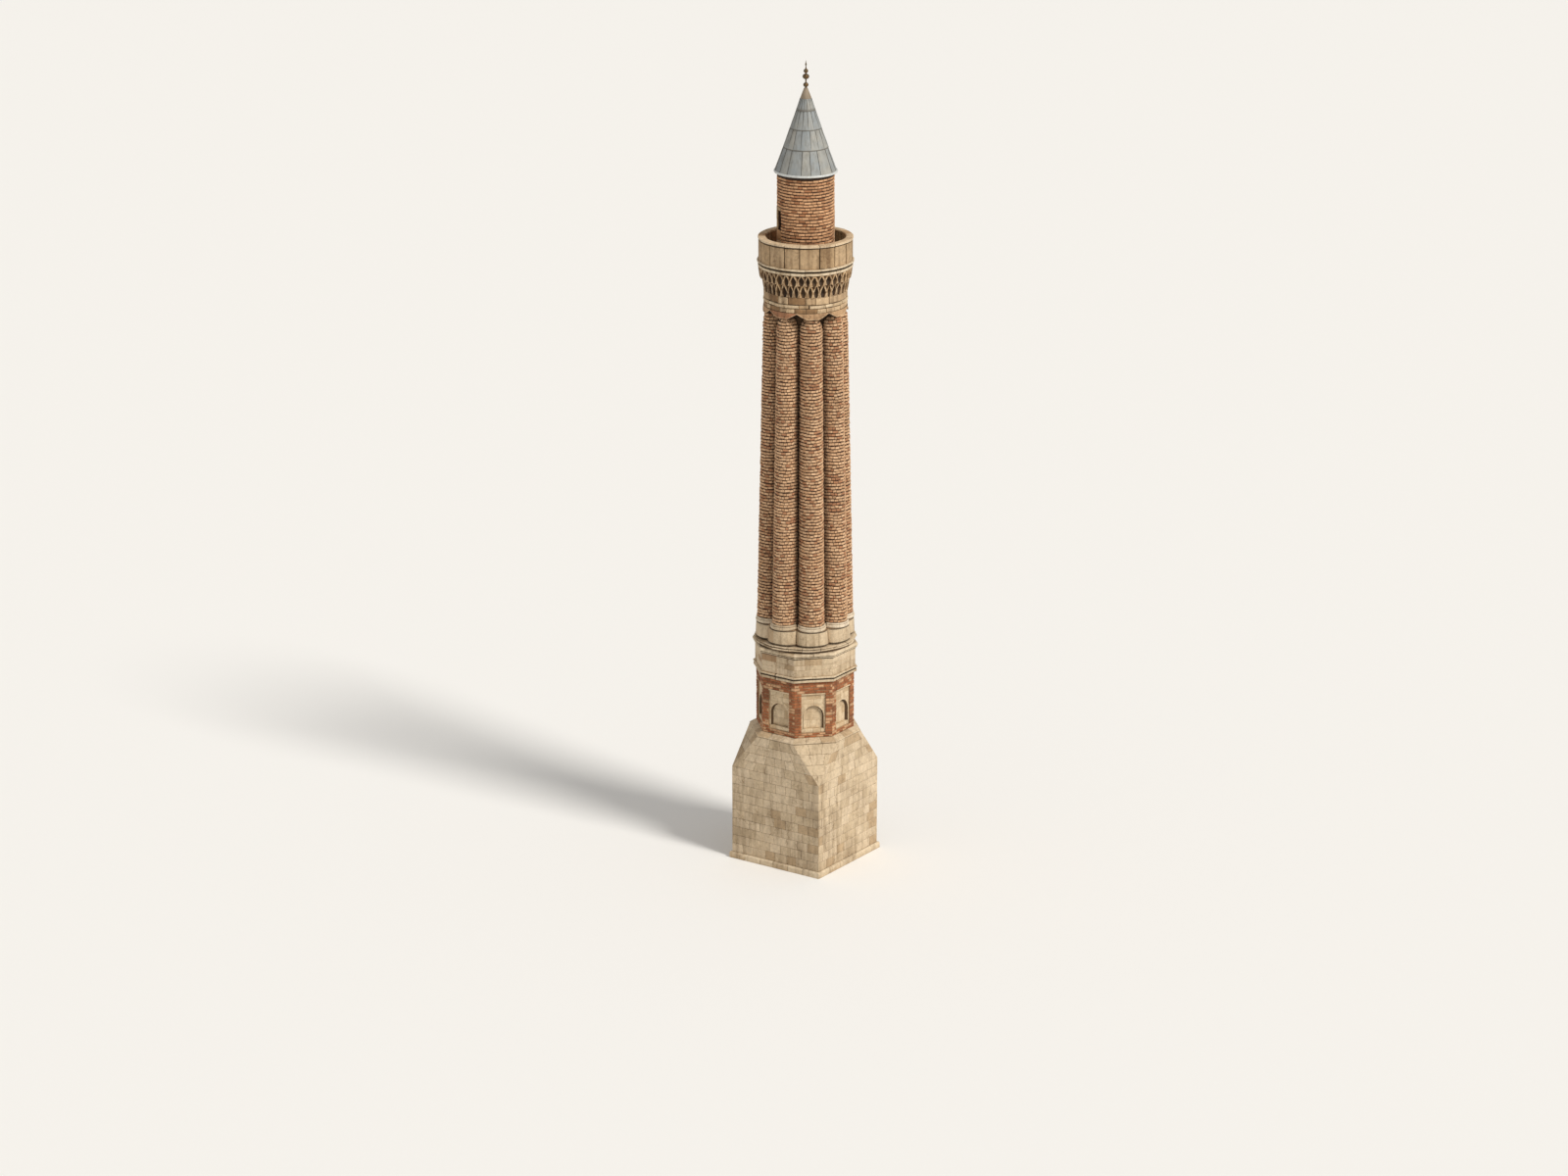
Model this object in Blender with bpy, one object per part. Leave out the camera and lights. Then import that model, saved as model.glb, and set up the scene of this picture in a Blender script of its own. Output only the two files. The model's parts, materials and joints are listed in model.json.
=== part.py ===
"""A fluted brick minaret at its real size, in metres, standing on the origin with +Z up.

A square stone base with an entrance at its back carries an octagon with arched panels,
a shaft of eight half-round brick flutes, a balcony on two tiers of stalactite corbels,
and a round upper drum under a cone of sheet lead with a bronze finial.
"""

import math

import bmesh
import bpy

# Heights of the bed joints, from the ground up
PLINTH_TOP = 0.30
BROACH_START = 4.55
BASE_TOP = 6.28
LEDGE_TOP = 6.50
OCTAGON_TOP = 9.21
STRING_TOP = 9.50
STONE_BAND_TOP = 10.36
CORNICE_TOP = 10.65
ROUND_LEDGE_TOP = 10.96
LOBED_DRUM_TOP = 11.65
ROLL_TOP = 11.90
FLUTES_TOP = 26.42
HEADS_TOP = 26.73
COLLAR_TOP = 27.47
LOWER_TIER_TOP = 28.05
UPPER_TIER_TOP = 28.53
BALCONY_TOP = 28.85
PARAPET_TOP = 29.94
UPPER_DRUM_TOP = 32.84
ROOF_TOP = 36.30
SLEEVE_TOP = 36.76
FINIAL_TOP = 38.00

# Radii, measured to the middle of a side on square and octagonal pieces
STAIRWELL = 0.85
PLINTH = 2.56
BASE = 2.46
OCTAGON = 2.16
STONE_BAND = 2.21
STRING = 2.30
CORNICE = 2.32
ROUND_LEDGE = 2.42
LOBED_DRUM = 2.30
SHAFT_FOOT = 2.28
SHAFT_HEAD = 1.975
COLLAR = 1.92
COLLAR_BAND = 1.94
LOWER_TIER = 2.00
UPPER_TIER = 2.15
PLAIN_BAND = 2.18
BALCONY = 2.225
PARAPET = 2.155
UPPER_DRUM = 1.32
EAVE = 1.455
ROOF_TIP = 0.235
FINIAL_NECK = 0.034

# Grooves lie at this share of the flutes' radius, and shallower in the drum under them
GROOVE = 0.72
DRUM_GROOVE = 0.90

# Profiles of the stone rings, as (radius, height) from the foot up
LEDGE_PROFILE = ((BASE, BASE_TOP), (BASE, BASE_TOP + 0.05), (OCTAGON, LEDGE_TOP))
STRING_PROFILE = (
    (STRING - 0.05, OCTAGON_TOP),
    (STRING, OCTAGON_TOP + 0.05),
    (STRING, OCTAGON_TOP + 0.19),
    (STRING - 0.04, OCTAGON_TOP + 0.19),
    (STRING - 0.03, STRING_TOP),
)
STONE_BAND_PROFILE = ((STONE_BAND, STRING_TOP), (STONE_BAND, STONE_BAND_TOP))
CORNICE_PROFILE = (
    (STONE_BAND + 0.02, STONE_BAND_TOP),
    (CORNICE, STONE_BAND_TOP + 0.10),
    (CORNICE, CORNICE_TOP - 0.06),
    (CORNICE - 0.05, CORNICE_TOP),
)
ROUND_LEDGE_PROFILE = (
    (ROUND_LEDGE - 0.05, CORNICE_TOP),
    (ROUND_LEDGE, CORNICE_TOP + 0.10),
    (ROUND_LEDGE, ROUND_LEDGE_TOP - 0.10),
    (LOBED_DRUM + 0.02, ROUND_LEDGE_TOP),
)
COLLAR_BAND_FOOT = HEADS_TOP + 0.21
COLLAR_BAND_HEAD = HEADS_TOP + 0.40
COLLAR_PROFILE = (
    (COLLAR, HEADS_TOP),
    (COLLAR, COLLAR_BAND_FOOT),
    (COLLAR_BAND, COLLAR_BAND_FOOT),
    (COLLAR_BAND, COLLAR_BAND_HEAD),
    (COLLAR, COLLAR_BAND_HEAD),
    (COLLAR, COLLAR_TOP),
)
BALCONY_PROFILE = (
    (PLAIN_BAND, UPPER_TIER_TOP),
    (PLAIN_BAND, BALCONY_TOP - 0.11),
    (BALCONY, BALCONY_TOP - 0.08),
    (BALCONY, BALCONY_TOP - 0.03),
    (BALCONY - 0.03, BALCONY_TOP),
)

# Roll under the flutes, as (how far proud of them, height)
ROLL_PROFILE = (
    (0.015, LOBED_DRUM_TOP),
    (0.042, LOBED_DRUM_TOP + 0.05),
    (0.050, LOBED_DRUM_TOP + 0.11),
    (0.042, LOBED_DRUM_TOP + 0.18),
    (0.025, LOBED_DRUM_TOP + 0.21),
    (0.010, ROLL_TOP),
)

# Hoods over the grooves: their lowest edge is over the middle of each flute, their highest over the grooves
HOOD_LOW = FLUTES_TOP + 0.04
HOOD_HIGH = HEADS_TOP - 0.02

# Corbels, as shares of the depth of their niches and heights down from the head of a tier
CORBEL_OVERHANG = 0.045
NICHE_FADE = 0.6
LIP_FOOT = 0.09
NICHE_HEAD = 0.15

# Entrance at the back of the base
ENTRANCE_WIDTH = 0.95
ENTRANCE_SPRING = 2.15

# Upper doorway, from the stairwell to the balcony, and opposite to it a slit window in a stone surround
UPPER_DOOR_AZIMUTH = 58.0
UPPER_DOOR_WIDTH = 0.70
UPPER_DOOR_HEAD = 30.95
FRAME_WIDTH = 0.14
FRAME_BACK = 0.78
FRAME_FACE = 1.30
SLIT_WIDTH = 0.34
SLIT_FOOT = 30.30
SLIT_HEAD = 31.20
SURROUND_WIDTH = 0.60
SURROUND_TOP = 31.36
SURROUND_FACE = 1.315

# Arched panels in the octagon, and the niche in each
PANEL_WIDTH = 1.14
PANEL_FOOT = 6.72
PANEL_HEAD = 8.65
PANEL_DEPTH = 0.06
NICHE_WIDTH = 0.98
NICHE_FOOT = 6.90
NICHE_SPRING = 7.58
NICHE_CROWN = 8.11
NICHE_DEPTH = 0.20

# Parapet of stone slabs under a coping
PARAPET_THICKNESS = 0.30
COPING_HEIGHT = 0.18
COPING_PROUD = 0.025
COPING_CHAMFER = 0.03

# Cone of sheet lead: its outside from the drum to the tip
EAVE_FOOT = UPPER_DRUM_TOP + 0.09
EAVE_HEAD = EAVE_FOOT + 0.06
ROOF_PROFILE = (
    (UPPER_DRUM - 0.06, UPPER_DRUM_TOP),
    (UPPER_DRUM + 0.02, UPPER_DRUM_TOP),
    (EAVE - 0.01, EAVE_FOOT),
    (EAVE, EAVE_HEAD - 0.02),
    (EAVE - 0.01, EAVE_HEAD),
    (ROOF_TIP, ROOF_TOP),
)

# Finial: radius of its sleeve at the head, and the height, radius and half height of each bulb
SLEEVE_HEAD = 0.085
BULBS = ((36.88, 0.122, 0.11), (37.26, 0.154, 0.13), (37.51, 0.107, 0.10), (37.81, 0.040, 0.07))
BULB_STEPS = 4
NECK_SHARE = 0.6
SPIKE_RADIUS = 0.014
SPIKE_FOOT = 37.93

FLUTES = 8
FLUTE_STEPS = 12
OCTAGON_POINTS = 24
ROUND_POINTS = 48
FINIAL_POINTS = 16
WELL_STEPS = 12
ARCH_STEPS = 5
RIBS = 32
RIB_DEPTH = 0.10
PARAPET_PIECES = 6
PARAPET_STEPS = 9
DRUM_PIECES = 3
DRUM_STEPS = 14
ROOF_SHELL = 0.19
WORN_ARRIS = 0.02
PLINTH_SLOPE = 0.06
HALF_FLUTE = 22.5
JOINT = 0.0003

COLOURS = {
    "cut_stone": (0.52, 0.42, 0.28),
    "weathered_stone": (0.30, 0.26, 0.18),
    "brick": (0.48, 0.24, 0.13),
    "lead": (0.33, 0.36, 0.40),
    "bronze": (0.26, 0.19, 0.11),
}
ROUGHNESS = {"cut_stone": 0.85, "weathered_stone": 0.9, "brick": 0.88, "lead": 0.55, "bronze": 0.45}
METALLIC = {"lead": 0.6, "bronze": 0.9}


def clear_scene():
    for item in list(bpy.data.objects):
        bpy.data.objects.remove(item, do_unlink=True)


def material(name):
    """The plain surface of one substance, made when it is first asked for."""
    found = bpy.data.materials.get(name)
    if found:
        return found
    made = bpy.data.materials.new(name)
    made.use_nodes = True
    shader = made.node_tree.nodes["Principled BSDF"]
    shader.inputs["Base Color"].default_value = (*COLOURS[name], 1.0)
    shader.inputs["Roughness"].default_value = ROUGHNESS[name]
    shader.inputs["Metallic"].default_value = METALLIC.get(name, 0.0)
    return made


def add_piece(name, points, faces, substance):
    """A named object from points and faces, with its faces turned outwards."""
    mesh = bpy.data.meshes.new(name)
    build = bmesh.new()
    corners = [build.verts.new(point) for point in points]
    for face in faces:
        build.faces.new([corners[index] for index in face])
    bmesh.ops.recalc_face_normals(build, faces=build.faces)
    build.to_mesh(mesh)
    build.free()
    mesh.shade_smooth()
    mesh.set_sharp_from_angle(angle=math.radians(35))
    mesh.materials.append(material(substance))
    piece = bpy.data.objects.new(name, mesh)
    bpy.context.scene.collection.objects.link(piece)
    return piece


def at(radius, degrees):
    angle = math.radians(degrees)
    return (radius * math.cos(angle), radius * math.sin(angle))


def turned(outline, degrees):
    angle = math.radians(degrees)
    cosine, sine = math.cos(angle), math.sin(angle)
    return [(x * cosine - y * sine, x * sine + y * cosine) for x, y in outline]


def arc(radius, start, end, steps):
    return [at(radius, start + (end - start) * index / steps) for index in range(steps + 1)]


def circle(radius, points=ROUND_POINTS):
    return [at(radius, 360 * index / points) for index in range(points)]


def rounded(outline, radius):
    """A circle with its points at the azimuths of another outline's points."""
    return [at(radius, math.degrees(math.atan2(y, x))) for x, y in outline]


def octagon(middle):
    """An octagon with sides across the axes, with points along its sides to match a round well."""
    step = 360 / OCTAGON_POINTS
    outline = []
    for index in range(OCTAGON_POINTS):
        degrees = step * (index + 0.5)
        from_middle = (degrees + HALF_FLUTE) % (2 * HALF_FLUTE) - HALF_FLUTE
        outline.append(at(middle / math.cos(math.radians(from_middle)), degrees))
    return outline


def flute_front(crown, groove):
    """The half-round front of the flute on +X, from groove to groove."""
    centre, half_width = at(groove, HALF_FLUTE)
    front = []
    for index in range(FLUTE_STEPS + 1):
        angle = math.pi * index / FLUTE_STEPS
        front.append((centre + (crown - centre) * math.sin(angle), -half_width * math.cos(angle)))
    return front


def lobes(crown, groove):
    """The outline of all eight flutes."""
    front = flute_front(crown, groove)[:-1]
    return [point for index in range(FLUTES) for point in turned(front, 2 * HALF_FLUTE * index)]


def lifted(outline, height):
    """An outline at one height, or at a height for each of its points."""
    heights = height if isinstance(height, list) else [height] * len(outline)
    return [(x, y, z) for (x, y), z in zip(outline, heights)]


def walls_between(loops, count, closed):
    """Quads between neighbouring loops of points, and from the last loop to the first if closed."""
    faces = []
    for level in range(loops if closed else loops - 1):
        low, high = level * count, (level + 1) % loops * count
        for index in range(count):
            following = (index + 1) % count
            faces.append([low + index, low + following, high + following, high + index])
    return faces


def stack(name, levels, substance):
    """A solid through outlines of as many points each, given as (outline, height) from the foot up."""
    count = len(levels[0][0])
    points = [point for outline, height in levels for point in lifted(outline, height)]
    faces = walls_between(len(levels), count, closed=False)
    faces.append(list(range(count)))
    faces.append(list(range(len(points) - count, len(points))))
    return add_piece(name, points, faces, substance)


def ring(name, levels, substance):
    """A ring round the stairwell, from its outer outlines as (outline, height) from the foot up."""
    well = rounded(levels[0][0], STAIRWELL)
    loops = levels + [(well, levels[-1][1]), (well, levels[0][1])]
    points = [point for outline, height in loops for point in lifted(outline, height)]
    return add_piece(name, points, walls_between(len(loops), len(well), closed=True), substance)


def moulding(name, plan, profile):
    """A stone ring with a profile of (radius, height), a hair above the piece that it lies on."""
    levels = [(plan(radius), height) for radius, height in profile]
    levels[0] = (levels[0][0], levels[0][1] + JOINT)
    return ring(name, levels, "cut_stone")


def spun(name, profile, substance, points=ROUND_POINTS):
    """A turned solid from a profile of (radius, height) whose first and last points are on the axis."""
    corners = [(0, 0, profile[0][1])]
    for radius, height in profile[1:-1]:
        corners += lifted(circle(radius, points), height)
    corners.append((0, 0, profile[-1][1]))
    last = len(corners) - 1
    faces = [[index + 1 for index in face] for face in walls_between(len(profile) - 2, points, closed=False)]
    for index in range(points):
        following = (index + 1) % points
        faces.append([0, 1 + following, 1 + index])
        faces.append([last, last - points + index, last - points + following])
    return add_piece(name, corners, faces, substance)


def hair_joint(piece, degrees, half_angle):
    """Moves a sector outwards, so that a hair's breadth is left between it and its neighbours."""
    outwards = JOINT / (2 * math.sin(math.radians(half_angle)))
    piece.location.x, piece.location.y = at(outwards, degrees)


def cut_away(piece, cutter):
    """Takes a guide solid's shape out of a piece, and hides the guide."""
    cutter.hide_render = True
    cutter.display_type = "WIRE"
    cut = piece.modifiers.new(cutter.name, "BOOLEAN")
    cut.object = cutter
    cut.operation = "DIFFERENCE"
    cut.solver = "EXACT"


def arch_outline(width, foot, spring, crown):
    """A pointed arch as (across, height), or a round one if it rises by half its width."""
    half = width / 2
    rise = crown - spring
    behind = (rise * rise - half * half) / (2 * half)
    radius = half + behind
    sweep = math.atan2(rise, behind)
    right = []
    for index in range(ARCH_STEPS):
        angle = sweep * index / ARCH_STEPS
        right.append((radius * math.cos(angle) - behind, spring + radius * math.sin(angle)))
    left = [(-across, height) for across, height in reversed(right)]
    return [(-half, foot), (half, foot), *right, (0, crown), *left]


def box_outline(width, foot, head):
    half = width / 2
    return [(-half, foot), (half, foot), (half, head), (-half, head)]


def outwards(name, outline, azimuth, near, far, substance):
    """A prism that runs outwards along an azimuth, from an upright outline as (across, height)."""
    points = []
    for distance in (near, far):
        plan = turned([(distance, across) for across, height in outline], azimuth)
        points += [(x, y, height) for (x, y), (across, height) in zip(plan, outline)]
    count = len(outline)
    faces = walls_between(2, count, closed=False)
    faces += [list(range(count)), list(range(count, 2 * count))]
    return add_piece(name, points, faces, substance)


def add_plinth():
    """The bottom course, which is also the floor of the stairwell and of the entrance."""
    levels = []
    slope_foot = PLINTH_TOP - PLINTH_SLOPE
    for half, height in ((PLINTH, 0), (PLINTH, slope_foot), (PLINTH - PLINTH_SLOPE, PLINTH_TOP)):
        levels.append(([(-half, -half), (half, -half), (half, half), (-half, half)], height))
    stack("base_plinth", levels, "cut_stone")


def corner_points(cut_share):
    """Where the base's corner meets its mitre and its side, from nearly square to octagonal."""
    octagon_corner = BASE * math.tan(math.radians(HALF_FLUTE))
    mitre = BASE + (BASE * math.sqrt(0.5) - BASE) * cut_share
    shoulder = BASE + (octagon_corner - BASE) * cut_share
    return mitre, shoulder


def base_quarter(name, azimuth, foot):
    """One side of the stone base, with half of a broach at each of its upper corners."""
    plans = []
    for cut_share in (WORN_ARRIS, 1):
        mitre, shoulder = corner_points(cut_share)
        outer = [(mitre, -mitre), (BASE, -shoulder), (BASE, shoulder), (mitre, mitre)]
        plans.append(turned(outer + arc(STAIRWELL, 45, -45, WELL_STEPS), azimuth))
    square, broached = plans
    levels = [(square, foot + JOINT), (square, BROACH_START), (broached, BASE_TOP)]
    quarter = stack(name, levels, "cut_stone")
    hair_joint(quarter, azimuth, 45)
    return quarter


def add_base():
    """Three closed sides, and at the back two piers with an arched wall over the entrance between them."""
    for name, azimuth in (("base_wall_front", -90), ("base_wall_right", 0), ("base_wall_left", 180)):
        base_quarter(name, azimuth, PLINTH_TOP)
    half = ENTRANCE_WIDTH / 2
    jamb_angle = math.degrees(math.acos(half / STAIRWELL))
    mitre, shoulder = corner_points(WORN_ARRIS)
    for name, side in (("base_pier_right", 1), ("base_pier_left", -1)):
        plan = [*arc(STAIRWELL, jamb_angle, 45, 2), (mitre, mitre), (shoulder, BASE), (half, BASE)]
        outline = [(side * x, y) for x, y in plan]
        pier = stack(name, [(outline, PLINTH_TOP + JOINT), (outline, ENTRANCE_SPRING)], "cut_stone")
        hair_joint(pier, 90, 45)
    over = base_quarter("base_wall_over_entrance", 90, ENTRANCE_SPRING)
    arch = arch_outline(ENTRANCE_WIDTH, PLINTH_TOP, ENTRANCE_SPRING, ENTRANCE_SPRING + half)
    cut_away(over, outwards("entrance_guide", arch, 90, 0, PLINTH, "cut_stone"))


def add_octagon():
    """A sloping stone ledge, and four brick walls of two faces each with an arched panel in every face."""
    moulding("base_ledge", octagon, LEDGE_PROFILE)
    corner = OCTAGON / math.cos(math.radians(HALF_FLUTE))
    outline = arc(corner, -45, 45, 2) + arc(STAIRWELL, 45, -45, WELL_STEPS)
    panel = box_outline(PANEL_WIDTH, PANEL_FOOT, PANEL_HEAD)
    niche = arch_outline(NICHE_WIDTH, NICHE_FOOT, NICHE_SPRING, NICHE_CROWN)
    for index in range(4):
        middle = 90 * index + HALF_FLUTE
        plan = turned(outline, middle)
        wall = stack(f"octagon_wall_{index + 1}", [(plan, LEDGE_TOP + JOINT), (plan, OCTAGON_TOP)], "brick")
        hair_joint(wall, middle, 45)
        for azimuth in (middle - HALF_FLUTE, middle + HALF_FLUTE):
            for kind, shape, depth in (("panel", panel, PANEL_DEPTH), ("niche", niche, NICHE_DEPTH)):
                guide = f"{kind}_guide_{azimuth:.0f}"
                cut_away(wall, outwards(guide, shape, azimuth, OCTAGON - depth, PLINTH, "cut_stone"))


def add_mouldings():
    """The stone rings between the octagon and the fluted shaft."""
    moulding("string_course", octagon, STRING_PROFILE)
    moulding("stone_band", octagon, STONE_BAND_PROFILE)
    moulding("octagon_cornice", octagon, CORNICE_PROFILE)
    moulding("round_ledge", circle, ROUND_LEDGE_PROFILE)
    drum = lobes(LOBED_DRUM, LOBED_DRUM * DRUM_GROOVE)
    ring("lobed_drum", [(drum, ROUND_LEDGE_TOP + JOINT), (drum, LOBED_DRUM_TOP)], "cut_stone")
    groove = SHAFT_FOOT * GROOVE
    levels = [(lobes(SHAFT_FOOT + proud, groove + proud), height) for proud, height in ROLL_PROFILE]
    levels[0] = (levels[0][0], LOBED_DRUM_TOP + JOINT)
    ring("roll_moulding", levels, "cut_stone")


def add_flutes():
    """The shaft: eight tapering half-round flutes, which meet in the grooves and at the stairwell."""
    well = arc(STAIRWELL, HALF_FLUTE, -HALF_FLUTE, WELL_STEPS // 2)
    foot = flute_front(SHAFT_FOOT, SHAFT_FOOT * GROOVE) + well
    head = flute_front(SHAFT_HEAD, SHAFT_HEAD * GROOVE) + well
    for index in range(FLUTES):
        azimuth = 2 * HALF_FLUTE * index
        levels = [(turned(foot, azimuth), ROLL_TOP + JOINT), (turned(head, azimuth), FLUTES_TOP)]
        hair_joint(stack(f"flute_{index + 1}", levels, "brick"), azimuth, HALF_FLUTE)


def add_collar():
    """The hoods that close the grooves under the collar, and the collar with its thin band."""
    foot = lobes(SHAFT_HEAD, SHAFT_HEAD * GROOVE)
    edge = []
    for x, y in foot:
        from_crown = abs((math.degrees(math.atan2(y, x)) + HALF_FLUTE) % (2 * HALF_FLUTE) - HALF_FLUTE)
        edge.append(HOOD_LOW + (HOOD_HIGH - HOOD_LOW) * from_crown / HALF_FLUTE)
    round_edge = rounded(foot, COLLAR)
    levels = [(foot, FLUTES_TOP + JOINT), (round_edge, edge), (round_edge, HEADS_TOP)]
    ring("flute_hoods", levels, "cut_stone")
    moulding("collar", circle, COLLAR_PROFILE)


def ribbed(radius, depth):
    """A circle whose every second point is set back, for the niches between corbels."""
    return [at(radius - depth * (index % 2), 180 * index / RIBS) for index in range(2 * RIBS)]


def add_corbel_tier(name, foot, head, foot_radius, head_radius):
    """One tier of stalactite corbels: niches that grow shallower up to a plain lip."""
    levels = [
        (ribbed(foot_radius, RIB_DEPTH), foot + JOINT),
        (ribbed(head_radius, RIB_DEPTH * NICHE_FADE), head - NICHE_HEAD),
        (ribbed(head_radius, 0), head - LIP_FOOT),
        (ribbed(head_radius, 0), head),
    ]
    ring(name, levels, "weathered_stone")


def add_balcony():
    """The slab that the corbels carry, a floor right across the stairwell, and the parapet on it."""
    add_corbel_tier("corbel_tier_lower", COLLAR_TOP, LOWER_TIER_TOP, COLLAR, LOWER_TIER)
    upper_foot = LOWER_TIER + CORBEL_OVERHANG
    add_corbel_tier("corbel_tier_upper", LOWER_TIER_TOP, UPPER_TIER_TOP, upper_foot, UPPER_TIER)
    edge = [(radius, height) for radius, height in BALCONY_PROFILE]
    edge[0] = (PLAIN_BAND, UPPER_TIER_TOP + JOINT)
    spun("balcony_slab", [(0, UPPER_TIER_TOP + JOINT), *edge, (0, BALCONY_TOP)], "cut_stone")
    half_angle = 180 / PARAPET_PIECES
    coping_foot = PARAPET_TOP - COPING_HEIGHT
    for index in range(PARAPET_PIECES):
        middle = 2 * half_angle * index
        levels = []
        for proud, height in (
            (0, BALCONY_TOP + JOINT),
            (0, coping_foot),
            (COPING_PROUD, coping_foot),
            (COPING_PROUD, PARAPET_TOP - COPING_CHAMFER),
            (COPING_PROUD - COPING_CHAMFER, PARAPET_TOP),
        ):
            outer = arc(PARAPET + proud, middle - half_angle, middle + half_angle, PARAPET_STEPS)
            inner_radius = PARAPET - PARAPET_THICKNESS - proud
            inner = arc(inner_radius, middle + half_angle, middle - half_angle, PARAPET_STEPS)
            levels.append((outer + inner, height))
        hair_joint(stack(f"parapet_{index + 1}", levels, "cut_stone"), middle, half_angle)


def drum_plan(outer_start, outer_end, well_start, well_end, steps):
    """A piece of the upper drum in plan, with azimuths counted from the doorway's middle."""
    plan = arc(UPPER_DRUM, outer_start, outer_end, steps) + arc(STAIRWELL, well_end, well_start, steps)
    return turned(plan, UPPER_DOOR_AZIMUTH)


def add_upper_drum():
    """The round brick drum: three walls, the piece over the doorway, and the doorway's stone frame."""
    half_opening = UPPER_DOOR_WIDTH / 2
    half_frame = half_opening + FRAME_WIDTH
    frame_head = UPPER_DOOR_HEAD + FRAME_WIDTH
    outer_jamb = math.degrees(math.asin((half_frame + JOINT) / UPPER_DRUM))
    well_jamb = math.degrees(math.asin((half_frame + JOINT) / STAIRWELL))
    sweep = (360 - 2 * outer_jamb) / DRUM_PIECES
    for index in range(DRUM_PIECES):
        start = outer_jamb + sweep * index
        end = start + sweep
        well_start = well_jamb if index == 0 else start
        well_end = 360 - well_jamb if index == DRUM_PIECES - 1 else end
        plan = drum_plan(start, end, well_start, well_end, DRUM_STEPS)
        levels = [(plan, BALCONY_TOP + JOINT), (plan, UPPER_DRUM_TOP)]
        wall = stack(f"upper_drum_{index + 1}", levels, "brick")
        hair_joint(wall, UPPER_DOOR_AZIMUTH + (start + end) / 2, sweep / 2)
        if index == DRUM_PIECES // 2:
            add_slit_window(wall)
    plan = drum_plan(JOINT - outer_jamb, outer_jamb - JOINT, JOINT - well_jamb, well_jamb - JOINT, 4)
    stack("upper_drum_over_door", [(plan, frame_head + JOINT), (plan, UPPER_DRUM_TOP)], "brick")
    frame = [
        (-half_frame, BALCONY_TOP + JOINT),
        (-half_opening, BALCONY_TOP + JOINT),
        (-half_opening, UPPER_DOOR_HEAD),
        (half_opening, UPPER_DOOR_HEAD),
        (half_opening, BALCONY_TOP + JOINT),
        (half_frame, BALCONY_TOP + JOINT),
        (half_frame, frame_head),
        (-half_frame, frame_head),
    ]
    outwards("upper_door_frame", frame, UPPER_DOOR_AZIMUTH, FRAME_BACK, FRAME_FACE, "cut_stone")


def add_slit_window(wall):
    """A tall stone surround let into the drum, with a slit through its upper part."""
    azimuth = UPPER_DOOR_AZIMUTH + 180
    recess = box_outline(SURROUND_WIDTH + 2 * JOINT, BALCONY_TOP - 1, SURROUND_TOP + JOINT)
    cut_away(wall, outwards("surround_guide", recess, azimuth, 0, PLINTH, "cut_stone"))
    stone = box_outline(SURROUND_WIDTH, BALCONY_TOP + JOINT, SURROUND_TOP)
    surround = outwards("slit_window", stone, azimuth, FRAME_BACK, SURROUND_FACE, "cut_stone")
    slit = box_outline(SLIT_WIDTH, SLIT_FOOT, SLIT_HEAD)
    cut_away(surround, outwards("slit_guide", slit, azimuth, 0, PLINTH, "cut_stone"))


def add_roof():
    """The cone, a boarded shell under sheet lead with a rolled lip at its eave."""
    outside = [(radius, max(height, UPPER_DRUM_TOP + JOINT)) for radius, height in ROOF_PROFILE]
    spun("lead_cone", [(0, ROOF_TOP - ROOF_SHELL), *outside, (0, ROOF_TOP)], "lead")


def add_finial():
    """A sleeve that caps the cone, bulbs on one rod, and a spike with a slight swell."""
    profile = [(0, ROOF_TOP + JOINT), (ROOF_TIP, ROOF_TOP + JOINT), (SLEEVE_HEAD, SLEEVE_TOP)]
    for middle, radius, half_height in BULBS:
        neck = min(FINIAL_NECK, radius * NECK_SHARE)
        for index in range(BULB_STEPS + 1):
            share = 2 * index / BULB_STEPS - 1
            height = middle + half_height * share
            if height > SLEEVE_TOP:
                profile.append((neck + (radius - neck) * (1 - share * share), height))
    profile += [(SPIKE_RADIUS, SPIKE_FOOT), (0, FINIAL_TOP)]
    spun("finial", profile, "bronze", FINIAL_POINTS)


clear_scene()
add_plinth()
add_base()
add_octagon()
add_mouldings()
add_flutes()
add_collar()
add_balcony()
add_upper_drum()
add_roof()
add_finial()
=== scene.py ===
import json
import math
import random

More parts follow.
